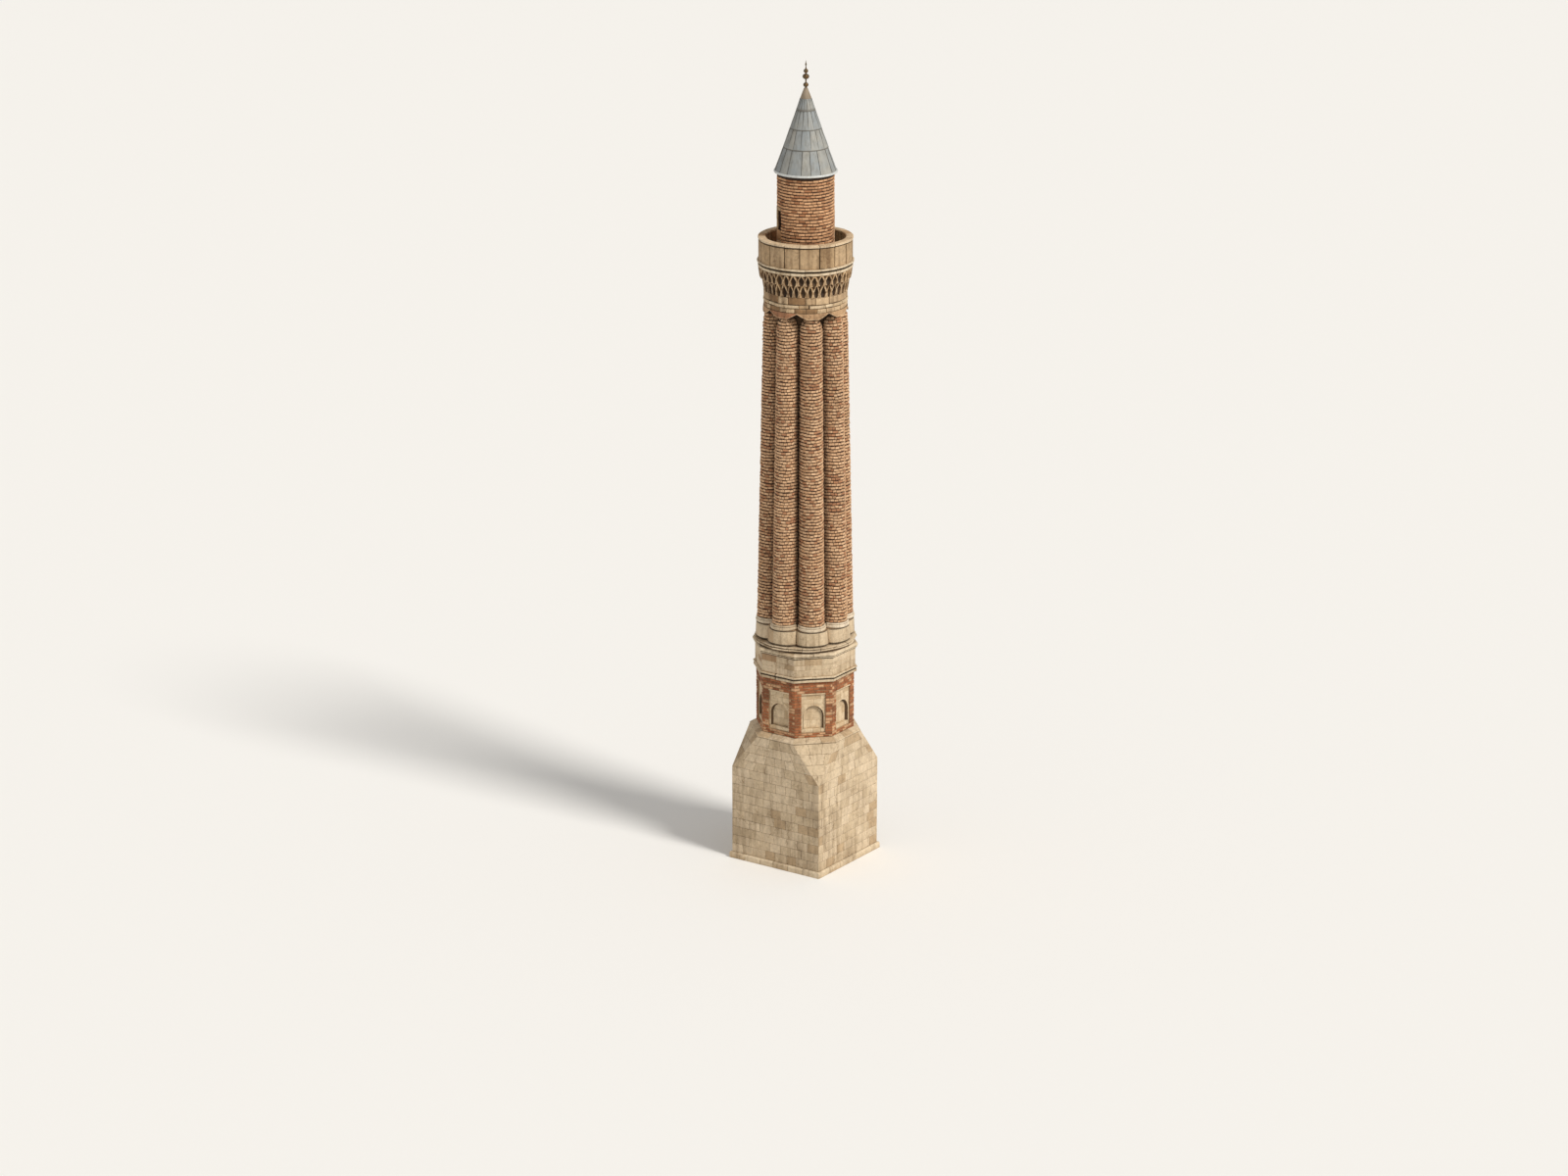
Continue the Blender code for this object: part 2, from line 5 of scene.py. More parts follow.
import bmesh
import bpy
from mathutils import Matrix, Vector

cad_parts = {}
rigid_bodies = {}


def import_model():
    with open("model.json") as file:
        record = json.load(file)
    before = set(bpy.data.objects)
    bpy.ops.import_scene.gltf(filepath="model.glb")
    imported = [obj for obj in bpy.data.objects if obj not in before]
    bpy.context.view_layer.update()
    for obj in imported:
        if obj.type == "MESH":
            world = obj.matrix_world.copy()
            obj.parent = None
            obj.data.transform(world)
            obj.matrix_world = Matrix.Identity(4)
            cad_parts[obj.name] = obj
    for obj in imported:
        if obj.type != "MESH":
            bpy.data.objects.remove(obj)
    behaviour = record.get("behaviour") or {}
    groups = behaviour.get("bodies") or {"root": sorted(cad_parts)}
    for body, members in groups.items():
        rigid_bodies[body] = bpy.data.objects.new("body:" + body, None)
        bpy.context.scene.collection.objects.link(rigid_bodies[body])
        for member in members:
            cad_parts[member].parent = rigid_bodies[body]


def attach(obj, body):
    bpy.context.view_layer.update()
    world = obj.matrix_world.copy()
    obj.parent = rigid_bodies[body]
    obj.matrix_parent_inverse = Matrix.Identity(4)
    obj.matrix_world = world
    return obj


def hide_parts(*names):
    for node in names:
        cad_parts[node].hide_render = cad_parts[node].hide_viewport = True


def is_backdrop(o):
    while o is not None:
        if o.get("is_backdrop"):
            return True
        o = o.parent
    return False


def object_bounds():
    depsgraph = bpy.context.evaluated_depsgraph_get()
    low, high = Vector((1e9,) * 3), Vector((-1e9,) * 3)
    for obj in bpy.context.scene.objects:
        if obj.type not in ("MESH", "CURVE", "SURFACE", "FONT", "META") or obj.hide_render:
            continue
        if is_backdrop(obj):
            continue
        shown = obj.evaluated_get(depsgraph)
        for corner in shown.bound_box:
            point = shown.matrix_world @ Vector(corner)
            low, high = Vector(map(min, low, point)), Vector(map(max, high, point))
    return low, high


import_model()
cad_low, cad_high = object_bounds()


# PLINTH
# The bottom course: a kerb of long limestone blocks with a weathered slope on their top, bedded
# in the ground, and inside it the paved floor that the stairwell and the entrance stand on.

def put(tree, kind, given=(), **settings):
    """Adds a node. Given values go to its open inputs in order, or by name: a wire is joined, a number is set."""
    node = tree.nodes.new(kind)
    for setting, value in settings.items():
        setattr(node, setting, value)
    if isinstance(given, dict):
        pairs = [(node.inputs[key], value) for key, value in given.items()]
    else:
        pairs = zip([socket for socket in node.inputs if socket.enabled], given)
    for socket, value in pairs:
        if isinstance(value, Wire):
            tree.links.new(value.socket, socket)
        elif value is not None:
            socket.default_value = value
    return node


def wire(tree, kind, given=(), output=0, **settings):
    """A wire from one output of a new node."""
    return Wire(tree, put(tree, kind, given, **settings).outputs[output])


def wires(tree, kind, given=(), **settings):
    """A wire from each output of a new node."""
    return [Wire(tree, socket) for socket in put(tree, kind, given, **settings).outputs]


class Wire:
    """An output of a node. Each sign and method that is used on it adds the node that works it out."""

    def __init__(self, tree, socket):
        self.tree, self.socket = tree, socket

    def calc(self, operation, *terms):
        return wire(self.tree, "ShaderNodeMath", (self, *terms), operation=operation)

    def __add__(self, other):
        return self.calc("ADD", other)

    def __sub__(self, other):
        return self.calc("SUBTRACT", other)

    def __rsub__(self, other):
        return wire(self.tree, "ShaderNodeMath", (other, self), operation="SUBTRACT")

    def __mul__(self, other):
        return self.calc("MULTIPLY", other)

    def __truediv__(self, other):
        return self.calc("DIVIDE", other)

    def __mod__(self, other):
        return self.calc("FLOORED_MODULO", other)

    def __lt__(self, other):
        return self.calc("LESS_THAN", other)

    def __gt__(self, other):
        return self.calc("GREATER_THAN", other)

    def clamped(self, low, high):
        return self.calc("MAXIMUM", low).calc("MINIMUM", high)

    def aim(self, operation, *terms):
        """Works out a vector from this one."""
        return wire(self.tree, "ShaderNodeVectorMath", (self, *terms), operation=operation)

    def scaled(self, factor):
        return wire(self.tree, "ShaderNodeVectorMath", {"Vector": self, "Scale": factor}, operation="SCALE")

    def parts(self):
        return wires(self.tree, "ShaderNodeSeparateXYZ", [self])

    def mix(self, low, high, kind="RGBA"):
        """From low to high as this wire goes from 0 to 1."""
        output = ("FLOAT", "VECTOR", "RGBA").index(kind)
        return wire(self.tree, "ShaderNodeMix", [self, low, high], output, data_type=kind)

    def span(self, low, high, to_low=0.0, to_high=1.0, **settings):
        """The range from low to high as another range."""
        return wire(self.tree, "ShaderNodeMapRange", [self, low, high, to_low, to_high], **settings)

    def noise(self, scale, detail, roughness=0.5):
        """Noise at the place that this wire carries."""
        given = {"Vector": self, "Scale": scale, "Detail": detail, "Roughness": roughness}
        return wire(self.tree, "ShaderNodeTexNoise", given)


def take(tree, **inputs):
    """Gives a node group its named inputs, each by its value or else its kind, and returns their wires."""
    kinds = {bool: "Bool", int: "Int", float: "Float", tuple: "Color"}
    for name, value in inputs.items():
        kind = kinds.get(type(value), value)
        socket = tree.interface.new_socket(name.replace("_", " "), in_out="INPUT", socket_type="NodeSocket" + kind)
        if kind != value:
            socket.default_value = value
    return wires(tree, "NodeGroupInput")[:len(inputs)]


def give(tree, **outputs):
    """Gives a node group its named outputs, each by its wire, and returns the group."""
    kinds = {"VALUE": "Float", "RGBA": "Color", "GEOMETRY": "Geometry"}
    for name, value in outputs.items():
        tree.interface.new_socket(name, in_out="OUTPUT", socket_type="NodeSocket" + kinds[value.socket.type])
    put(tree, "NodeGroupOutput", outputs)
    return tree


SLIVER = 0.001
SHORTEST_BLOCK = 0.012


def courses_tree():
    """Lays blocks in courses on a wall, given by a foot line and a head line for each stretch of it.

    Each course takes the whole number of blocks that fits best, every second one starts with a part
    block, and each corner of a block is placed on the wall, so that arrises and joints keep their width."""
    tree = bpy.data.node_groups.new("laid_courses", "GeometryNodeTree")
    (host, drawn, kinds, courses, length, joint, head_joint, depth, stagger, uneven, set_back, lean, wobble, mitre,
     end_joint, closed, seed, finish) = take(
        tree, Host="Geometry", Lines="Object", Blocks="Collection", Courses=1, Length=0.3, Joint=0.01,
        Head_joint=0.01, Depth=0.05, Stagger=0.5, Uneven=0.1, Set_back=0.004, Lean=0.0, Wobble=0.0, Mitre=0.0,
        End_joint=1.0, Closed=False, Seed=0, Finish="Material")

    def add(kind, given=(), output=0, **settings):
        return wire(tree, kind, given, output, **settings)

    def whole(number):
        return add("FunctionNodeFloatToInt", [number], rounding_mode="ROUND")

    def line_length(number):
        return add("GeometryNodeSampleIndex", {"Geometry": lines, "Value": spline_length, "Index": whole(number)},
                   data_type="FLOAT", domain="CURVE")

    lines = add("GeometryNodeObjectInfo", {"Object": drawn}, "Geometry")
    spline_length = add("GeometryNodeSplineLength", output="Length")
    count = add("GeometryNodeAttributeDomainSize", [lines], "Spline Count", component="CURVE")
    longest = add("GeometryNodeAttributeStatistic", {"Geometry": lines, "Attribute": spline_length}, "Max",
                  domain="CURVE")
    columns = (longest / length).calc("CEIL") + 2
    points = add("GeometryNodePoints", {"Count": count / 2 * courses * columns})

    index = add("GeometryNodeInputIndex")
    column = index % columns
    course = ((index + 0.5) / columns).calc("FLOOR")
    row = course % courses
    stretch = ((course + 0.5) / courses).calc("FLOOR")
    run = ((row + 0.5) / courses).mix(line_length(stretch * 2), line_length(stretch * 2 + 1), "FLOAT")
    in_course = (run / length).calc("ROUND").calc("MAXIMUM", 1)
    pitch = run / in_course
    start = column - (row + stretch) % 2 * stagger
    last_edge = run - SLIVER

    def joint_at(place, number):
        """Where an upright joint falls, in metres along the course."""
        raw = place * pitch
        inner = ((raw > SLIVER) * (raw < last_edge)).calc("MAXIMUM", closed)
        chance = add("FunctionNodeRandomValue", [-1.0, None, whole(course * 500 + number % in_course), seed], 1,
                     data_type="FLOAT")
        moved = raw + chance * uneven * pitch * inner
        return closed.mix(moved.clamped(0, run), moved, "FLOAT")

    left, right = joint_at(start, column), joint_at(start + 1, column + 1)
    open_wall, less_joint = 1 - closed, 1 - end_joint

    def chance_of(number):
        return add("FunctionNodeRandomValue", {"Seed": seed + number}, 1, data_type="FLOAT")

    for name, values in (("along", (left / run, right / run, run)),
                         ("up", (row / courses, stretch, chance_of(1).calc("POWER", 3) * set_back)),
                         ("ends", ((left < SLIVER) * open_wall * less_joint,
                                   (right > last_edge) * open_wall * less_joint, 0)),
                         ("lean", [(chance_of(number) - 0.5) * lean for number in (2, 4, 5)])):
        points = add("GeometryNodeStoreNamedAttribute", {
            "Geometry": points, "Name": name, "Value": add("ShaderNodeCombineXYZ", values)},
            data_type="FLOAT_VECTOR", domain="POINT")
    points = add("GeometryNodeStoreNamedAttribute", {"Geometry": points, "Name": "tone", "Value": chance_of(3)},
                 data_type="FLOAT", domain="POINT")
    unused = (right - left < SHORTEST_BLOCK).calc("MAXIMUM", (column > in_course - 0.5) * closed)
    points = add("GeometryNodeDeleteGeometry", {"Geometry": points, "Selection": unused})

    kinds = add("GeometryNodeCollectionInfo", {"Collection": kinds, "Separate Children": True,
                                               "Reset Children": True})
    pick = add("FunctionNodeRandomValue", {"Seed": seed}, 2, data_type="INT")
    blocks = add("GeometryNodeInstanceOnPoints", {"Points": points, "Instance": kinds, "Pick Instance": True,
                                                  "Instance Index": pick})
    blocks = add("GeometryNodeRealizeInstances", [blocks])

    shape = add("GeometryNodeInputPosition").parts()
    inset, along, up, ends, lean = [
        add("GeometryNodeInputNamedAttribute", {"Name": name}, data_type="FLOAT_VECTOR").parts()
        for name in ("inset", "along", "up", "ends", "lean")]
    left_gap, right_gap = [head_joint * 0.5 * (1 - end) for end in ends[:2]]
    inner = (along[1] - along[0]) * along[2] - left_gap - right_gap
    across = shape[0] - 0.5
    x = left_gap + shape[0] * inner + inset[0]
    at_mitre = (shape[0] < SLIVER) * ends[0] + (shape[0] > 1 - SLIVER) * ends[1]
    y = shape[1] * depth + inset[1] * (1 - at_mitre * 0.5) - up[2] + across * lean[0]
    share = along[0] + x / along[2]
    share = (share - 0.5) * (y * mitre * 2 / along[2] + 1) + 0.5
    share = closed.mix(share.clamped(0, 1), share.calc("FRACT"), "FLOAT")

    def sampled(number):
        """The place and the tangent on a line, at the share of its length."""
        return wires(tree, "GeometryNodeSampleCurve",
                     {"Curves": lines, "Factor": share, "Curve Index": whole(number)}, mode="FACTOR",
                     use_all_curves=False)[-3:-1]

    foot, foot_tangent = sampled(up[1] * 2)
    head, head_tangent = sampled(up[1] * 2 + 1)
    rise = head.aim("SUBTRACT", foot)
    height = add("ShaderNodeVectorMath", [rise], "Value", operation="LENGTH")
    z = joint * 0.5 + shape[2] * (height / courses - joint) + inset[2] + (lean[1] + across * lean[2])
    share_up = up[0] + z / height
    outward = share_up.mix(foot_tangent, head_tangent, "VECTOR").aim("CROSS_PRODUCT", rise).aim("NORMALIZE")
    place = foot.aim("ADD", rise.scaled(share_up))
    wave = (place.noise(0.9, 1.0) - 0.5) * wobble
    place = place.aim("ADD", outward.scaled(y)).aim("ADD", rise.aim("NORMALIZE").scaled(wave))
    blocks = add("GeometryNodeSetPosition", {"Geometry": blocks, "Position": place})
    for name in ("along", "up", "ends", "lean", "inset"):
        blocks = add("GeometryNodeRemoveAttribute", {"Geometry": blocks, "Name": name})
    return give(tree, Laid=add("GeometryNodeSetMaterial", {"Geometry": blocks, "Material": finish}))


laid_courses = courses_tree()
BACK_FACE = ((-1, 1, 0, 0, 0), (-1, 0, 0, 0, 0))


def plain_face(arris):
    """The section of a block with a flat face: up its front and down its back."""
    return ((0, 0, -arris, 0, 1), (0, 0, 0, arris, 0), (0, 1, 0, -arris, 0), (0, 1, -arris, 0, 1), *BACK_FACE)


def mark(mesh, **values):
    """Gives each point of a mesh a number by each name, such as its tone or how much of an arris it is."""
    for name, numbers in values.items():
        mesh.attributes.new(name, "FLOAT", "POINT").data.foreach_set("value", numbers)


def add_kind(kinds, points, faces, insets, edges):
    """Adds a block to a collection. Its points are shares of the block, and its insets are metres beside them."""
    name = f"{kinds.name}_{len(kinds.objects)}"
    mesh = bpy.data.meshes.new(name)
    mesh.from_pydata(points, [], faces)
    mesh.attributes.new("inset", "FLOAT_VECTOR", "POINT").data.foreach_set("vector", [v for i in insets for v in i])
    mark(mesh, edge=edges)
    kinds.objects.link(bpy.data.objects.new(name, mesh))


def block_kinds(name, section, columns=(0.5,), arris=0.006, chip=0.004, count=5):
    """Some like blocks of one section, with a worn arris at each end and a few knocked corners.

    The section goes up the front and down the back, as (share of the depth, share of the height, metres out,
    metres up, 1 at an arris and -1 in a hollow that is painted in shade). A block keeps its shares as its shape, the
    metres in its inset."""
    kinds = bpy.data.collections.new(name)
    dice = random.Random(name)
    sides = [(0.0, 0.0), (0.0, arris), *[(share, 0.0) for share in columns], (1.0, -arris), (1.0, 0.0)]
    around, last = len(section), len(sides) - 1
    for number in range(count):
        points, insets, edges = [], [], []
        knocked = [(dice.choice((0, last)), dice.randrange(around)) for corner in range(2)]
        for place, (share, shift) in enumerate(sides):
            end = place in (0, last)
            for level, (deep, share_up, out, lift, worn) in enumerate(section):
                front = deep > -0.5
                rough = chip * front * (3.5 if (place, level) in knocked else 1.0)
                points.append((share, deep, share_up))
                insets.append((shift + dice.uniform(-0.5, 0.5) * rough * (not end),
                               out - arris * end * front - dice.uniform(0.0, 1.0) * rough,
                               lift + dice.uniform(-0.5, 0.5) * rough * (not worn)))
                edges.append(float(front and (worn if worn < 0 else end or worn)))
        faces = []
        for first in range(0, last * around, around):
            for low, after in zip(range(first, first + around), [*range(first + 1, first + around), first]):
                faces.append((low, low + around, after + around, after))
        faces += [range(around), range(len(points) - 1, last * around - 1, -1)]
        add_kind(kinds, points, faces, insets, edges)
    return kinds


def show(name, data):
    """Puts an object of some data in the scene."""
    piece = bpy.data.objects.new(name, data)
    bpy.context.scene.collection.objects.link(piece)
    return piece


def plain_mesh(name, mesh, sharp=38):
    """An object of a finished mesh, smooth but for its arrises."""
    mesh.name = name
    mesh.shade_smooth()
    mesh.set_sharp_from_angle(angle=math.radians(sharp))
    return show(name, mesh)


def evaluated(name, host, sharp=38):
    """The plain mesh that a host's modifiers make, in place of the host."""
    bpy.context.view_layer.update()
    mesh = bpy.data.meshes.new_from_object(host.evaluated_get(bpy.context.evaluated_depsgraph_get()))
    bpy.data.objects.remove(host, do_unlink=True)
    return plain_mesh(name, mesh, sharp)


def along_lines(name, tree, lines, sharp=38, **sizes):
    """The plain mesh that a Geometry Nodes tree makes along lines of points, with these sizes.

    The lines go to the tree as curves, and each size to the input of its name, with _ for a space."""
    curve = bpy.data.curves.new(name + "_lines", "CURVE")
    curve.dimensions = "3D"
    for line in lines:
        spline = curve.splines.new("POLY")
        spline.points.add(len(line) - 1)
        spline.points.foreach_set("co", [value for point in line for value in (*point, 1.0)])
    sizes["lines"] = drawn = show(name + "_lines", curve)
    host = show(name, bpy.data.meshes.new(name))
    modifier = host.modifiers.new(name, "NODES")
    modifier.node_group = tree
    for item in tree.interface.items_tree:
        key = item.name.replace(" ", "_").lower()
        if item.in_out == "INPUT" and key in sizes:
            modifier[item.identifier] = sizes.pop(key)
    if sizes:
        raise ValueError(f"{tree.name} has no {list(sizes)}")
    made = evaluated(name, host, sharp)
    bpy.data.objects.remove(drawn, do_unlink=True)
    return made


def lay(name, stretches, blocks, finish, sharp=38, **sizes):
    """Lays blocks on stretches of wall, each given as its foot line and its head line."""
    sizes.setdefault("head_joint", sizes["joint"])
    lines = [line for stretch in stretches for line in stretch]
    return along_lines(name, laid_courses, lines, sharp, blocks=blocks, finish=finish, **sizes)


def join(name, pieces):
    """One piece of several, by the name of the whole."""
    with bpy.context.temp_override(active_object=pieces[0], selected_editable_objects=pieces):
        bpy.ops.object.join()
    pieces[0].name = pieces[0].data.name = name
    return pieces[0]


def solid(name, points, faces, finish, sharp=38):
    """A closed piece from points and faces, with its faces turned outwards."""
    mesh = bpy.data.meshes.new(name)
    mesh.from_pydata(points, [], faces)
    shape = bmesh.new()
    shape.from_mesh(mesh)
    bmesh.ops.remove_doubles(shape, verts=shape.verts, dist=1e-5)
    bmesh.ops.recalc_face_normals(shape, faces=shape.faces)
    shape.to_mesh(mesh)
    shape.free()
    mesh.materials.append(finish)
    return plain_mesh(name, mesh, sharp)


def loft(name, loops, finish, closed=False, sharp=38):
    """A skin through loops of as many points each, capped at its ends, or closed on itself."""
    count = len(loops[0])
    points = [point for loop in loops for point in loop]
    faces = []
    for level in range(len(loops) if closed else len(loops) - 1):
        low, high = level * count, (level + 1) % len(loops) * count
        for index in range(count):
            after = (index + 1) % count
            faces.append((low + index, low + after, high + after, high + index))
    if not closed:
        faces += [list(range(count)), list(range(len(points) - count, len(points)))]
    return solid(name, points, faces, finish, sharp)


def hand_over(piece, slot, *nodes):
    """Hands a finished piece over: it rides on the tower and stands for these solids."""
    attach(piece, "root")
    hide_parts(*nodes)
    return piece


def paint(red, green, blue):
    """A colour from 0-255 as the light that it reflects."""
    values = [value / 255 for value in (red, green, blue)]
    return (*[value / 12.92 if value <= 0.04045 else ((value + 0.055) / 1.055) ** 2.4 for value in values], 1.0)


def grain_group():
    """Fine and coarse grain of stone and fired clay: its tone about 0.5, its height, and its pits and hair cracks."""
    tree = bpy.data.node_groups.new("grain", "ShaderNodeTree")
    scale, pits, cracks = take(tree, Scale=1.0, Pits=0.5, Cracks=0.0)
    place = wire(tree, "ShaderNodeTexCoord", output="Object")
    clouds, tints = wires(tree, "ShaderNodeTexNoise", {"Vector": place, "Scale": 2.6, "Detail": 5.0})
    lines = wire(tree, "ShaderNodeTexVoronoi", {"Vector": place.aim("ADD", tints.scaled(0.7)), "Scale": 1.5},
                 "Distance", feature="DISTANCE_TO_EDGE")
    crack = lines.span(0.008, 0.035, 1.0, 0.0) * clouds.span(0.46, 0.56) * cracks
    place = place.scaled(scale)
    coarse = place.noise(14.0, 6.0, 0.62)
    cells = wire(tree, "ShaderNodeTexVoronoi", {"Vector": place, "Scale": 42.0, "Randomness": 1.0}, "Distance")
    pit = ((cells < 0.22) * (coarse > 0.54) * pits).calc("MAXIMUM", crack)
    tone = place.noise(95.0, 3.0) * 0.35 + coarse * 0.65
    return give(tree, Tone=tone, Height=tone - pit * 0.5, Flaw=pit)


def run_off_group():
    """Where rain has carried dirt down a wall: streaks that are long upright and narrow across, in patches."""
    tree = bpy.data.node_groups.new("run_off", "ShaderNodeTree")
    scale, amount = take(tree, Scale=1.0, Amount=0.5)
    place = wire(tree, "ShaderNodeTexCoord", output="Object")
    streaks = place.aim("MULTIPLY", (5.0, 5.0, 0.55)).scaled(scale).noise(1.0, 5.0, 0.6)
    both = streaks * 0.6 + place.noise(0.7, 3.0) * 0.5
    return give(tree, Mask=both.span(0.47, 0.72, interpolation_type="SMOOTHSTEP") * amount)


def block_tone_group():
    """The colour of one block among its neighbours: most between two colours, a few of a third."""
    tree = bpy.data.node_groups.new("block_tone", "ShaderNodeTree")
    white = (1.0, 1.0, 1.0, 1.0)
    common, other, odd_one, odd_share = take(tree, Common=white, Other=white, Odd_one=white, Odd_share=0.15)
    tone = wire(tree, "ShaderNodeAttribute", output="Fac", attribute_name="tone")
    odd = (tone * 17.3).calc("FRACT") < odd_share
    return give(tree, Colour=odd.mix(tone.mix(common, other), odd_one))


def arris_wear_and_hollow_shade_group():
    """Arrises rubbed and weathered to another colour, and painted shade in hollows, from the edge attribute of a
    block.
    """
    tree = bpy.data.node_groups.new("worn_arris", "ShaderNodeTree")
    amount, scale = take(tree, Amount=0.6, Scale=8.0)
    edge = wire(tree, "ShaderNodeAttribute", output="Fac", attribute_name="edge")
    place = wire(tree, "ShaderNodeTexCoord", output="Object")
    rubbed = place.noise(scale, 3.0).span(0.35, 0.65, 0.3, 1.0)
    return give(tree, Mask=edge * rubbed * amount, Hollow=(edge * -0.85).calc("MAXIMUM", 0.0))


grain, run_off, block_tone, worn_arris = grain_group(), run_off_group(), block_tone_group(), arris_wear_and_hollow_shade_group()


def new_material(name):
    """A material, its node tree, and a wire that carries the place on the object."""
    material = bpy.data.materials.new(name)
    material.use_nodes = True
    return material, material.node_tree, wire(material.node_tree, "ShaderNodeTexCoord", output="Object")


def dress(material, bump, relief, height, **looks):
    """Joins colours, values and a bump, with its relief in metres, to a material's shader."""
    tree = material.node_tree
    looks["Normal"] = wire(tree, "ShaderNodeBump", {"Strength": bump, "Distance": relief, "Height": height})
    for name, look in looks.items():
        tree.links.new(look.socket, tree.nodes["Principled BSDF"].inputs[name.replace("_", " ")])
    return material


# The near-black brown that is painted into hollows as their shade.
HOLLOW_SHADE = paint(44, 33, 22)


def masonry(name, common, other, odd, dirt, arris, grain_scale=1.0, pits=0.5, odd_share=0.15, dirt_amount=0.5,
            arris_amount=0.7, roughness=0.85, bump=0.4, contrast=0.26, cracks=0.0, groove_shade=0.0):
    """Stone or brick: blocks of three colours, with grain and flaws, dirt run down over them and worn arrises,
    painted shade in hollows, and painted shade where two of the shaft's eight flutes meet."""
    material, tree, place = new_material(name)
    common, other, odd, dirt, arris = [paint(*colour) for colour in (common, other, odd, dirt, arris)]
    tone, height, flaw = wires(tree, "ShaderNodeGroup", [grain_scale, pits, cracks], node_tree=grain)
    colour = wire(tree, "ShaderNodeGroup", [common, other, odd, odd_share], node_tree=block_tone)
    shade = wire(tree, "ShaderNodeCombineXYZ", [tone.span(0.3, 0.7, 1 - contrast, 1 + contrast)] * 3)
    colour = wire(tree, "ShaderNodeMix", [1.0, colour, shade], 2, data_type="RGBA", blend_type="MULTIPLY")
    worn, hollow = wires(tree, "ShaderNodeGroup", [arris_amount], node_tree=worn_arris)
    run = wire(tree, "ShaderNodeGroup", {"Amount": dirt_amount}, node_tree=run_off)
    stain = (run + flaw * 0.75).calc("MINIMUM", 1.0)
    colour = stain.mix(worn.mix(colour, arris), dirt)
    # Painted shade: points that a section marks as in a hollow are darkened towards the near-black brown.
    colour = hollow.mix(colour, HOLLOW_SHADE)
    # Painted shade in the grooves between the flutes, deepest where two flutes meet.
    if groove_shade:
        x, y, z = place.parts()
        groove = (y.calc("ARCTAN2", x) * 8.0).calc("COSINE")
        colour = groove.span(-0.7, -1.0, 0.0, groove_shade).mix(colour, dirt)
    gloss = tone.span(0.3, 0.7, roughness - 0.08, roughness + 0.08)
    return dress(material, bump, 0.012, height, Base_Color=colour, Roughness=gloss)


def level(outline, height):
    return [(x, y, height) for x, y in outline]


def square(half):
    return [(-half, -half), (half, -half), (half, half), (-half, half)]


def turned(outline, degrees):
    cosine, sine = math.cos(math.radians(degrees)), math.sin(math.radians(degrees))
    return [(x * cosine - y * sine, x * sine + y * cosine) for x, y in outline]


def flat_stretch(azimuth, distance, left, right, foot, head):
    """A stretch of upright wall that faces an azimuth, from left to right as it is counted round the tower."""
    line = turned([(distance, left), (distance, right)], azimuth)
    return level(line, foot), level(line, head)


limestone = masonry("limestone", (214, 193, 163), (199, 177, 145), (186, 160, 126), dirt=(128, 104, 74),
                    arris=(226, 208, 178), grain_scale=0.6, odd_share=0.1, cracks=0.5)
sand_mortar = masonry("sand_mortar", (104, 82, 58), (104, 82, 57), (94, 72, 50), dirt=(60, 45, 31),
                      arris=(116, 92, 66), grain_scale=1.4, pits=0.8, dirt_amount=0.7, roughness=0.92, bump=0.8)
PLINTH, PLINTH_TOP, PLINTH_SLOPE = 2.56, 0.30, 0.06
SIDES = (0, 90, 180, 270)
kerb_section = ((0, 0, -0.01, 0, 1), (0, 0, 0, 0.01, 0), (0, 1, 0, -PLINTH_SLOPE, 1), (0, 1, -PLINTH_SLOPE, 0, 1),
                *BACK_FACE)
kerb = lay("kerb", [flat_stretch(side, PLINTH, -PLINTH, PLINTH, 0.0, PLINTH_TOP) for side in SIDES],
           block_kinds("kerb_block", kerb_section, (0.25, 0.5, 0.75), arris=0.01, chip=0.007), limestone, length=0.85,
           joint=0.014, depth=0.34, stagger=0.0, uneven=0.12, mitre=1.0, end_joint=0.0)
bed = loft("plinth_bed", [level(square(half), height) for half, height in ((2.53, 0.0), (2.53, 0.22), (2.44, 0.285))],
           sand_mortar)
flag_kinds = block_kinds("floor_flag", plain_face(0.006), chip=0.004)


def paving(half, width, height, rows):
    """Rows of flagstones across a floor, each from one y to the next."""
    return [(((half, y, height), (-half, y, height)), ((half, y + width, height), (-half, y + width, height)))
            for y in rows]


flags = lay("floor_flags", paving(1.0, 0.5, PLINTH_TOP - 0.003, (-1.0, -0.5, 0.0, 0.5, 1.0, 1.5, 2.0)), flag_kinds,
            limestone, length=0.62, joint=0.01, depth=0.05)
hand_over(join("plinth_kerb", [kerb, bed, flags]), "cut_stone", "base_plinth")


# STONE BASE
# Ashlar blocks in ten even courses on each side of the square, and four narrower ones where the corners
# are cut back to an octagon. The entrance at the back has jambs and an arch of larger stones.

STAIRWELL, BASE = 0.85, 2.46
BROACH_START, BASE_TOP = 4.55, 6.28
ENTRANCE, ENTRANCE_SPRING, ENTRANCE_BACK, SURROUND = 0.475, 2.15, 0.8, 0.24


def at(radius, degrees):
    return (radius * math.cos(math.radians(degrees)), radius * math.sin(math.radians(degrees)))


def arc(radius, start, end, steps):
    return [at(radius, start + (end - start) * index / steps) for index in range(steps + 1)]


def rounded(outline, radius):
    """A circle with its points at the azimuths of another outline's points."""
    return [at(radius, math.degrees(math.atan2(y, x))) for x, y in outline]


def ring_bed(name, levels, finish, inner=STAIRWELL):
    """The mortar and rubble behind a face, as a ring round the stairwell, from (outline, height)."""
    loops = [level(outline, height) for outline, height in levels]
    well = rounded(levels[0][0], inner)
    return loft(name, [*loops, level(well, levels[-1][1]), level(well, levels[0][1])], finish, closed=True)


def upright_bed(name, outline, foot, head, finish, inner=STAIRWELL):
    """A bed with an upright face."""
    return ring_bed(name, [(outline, foot), (outline, head)], finish, inner)


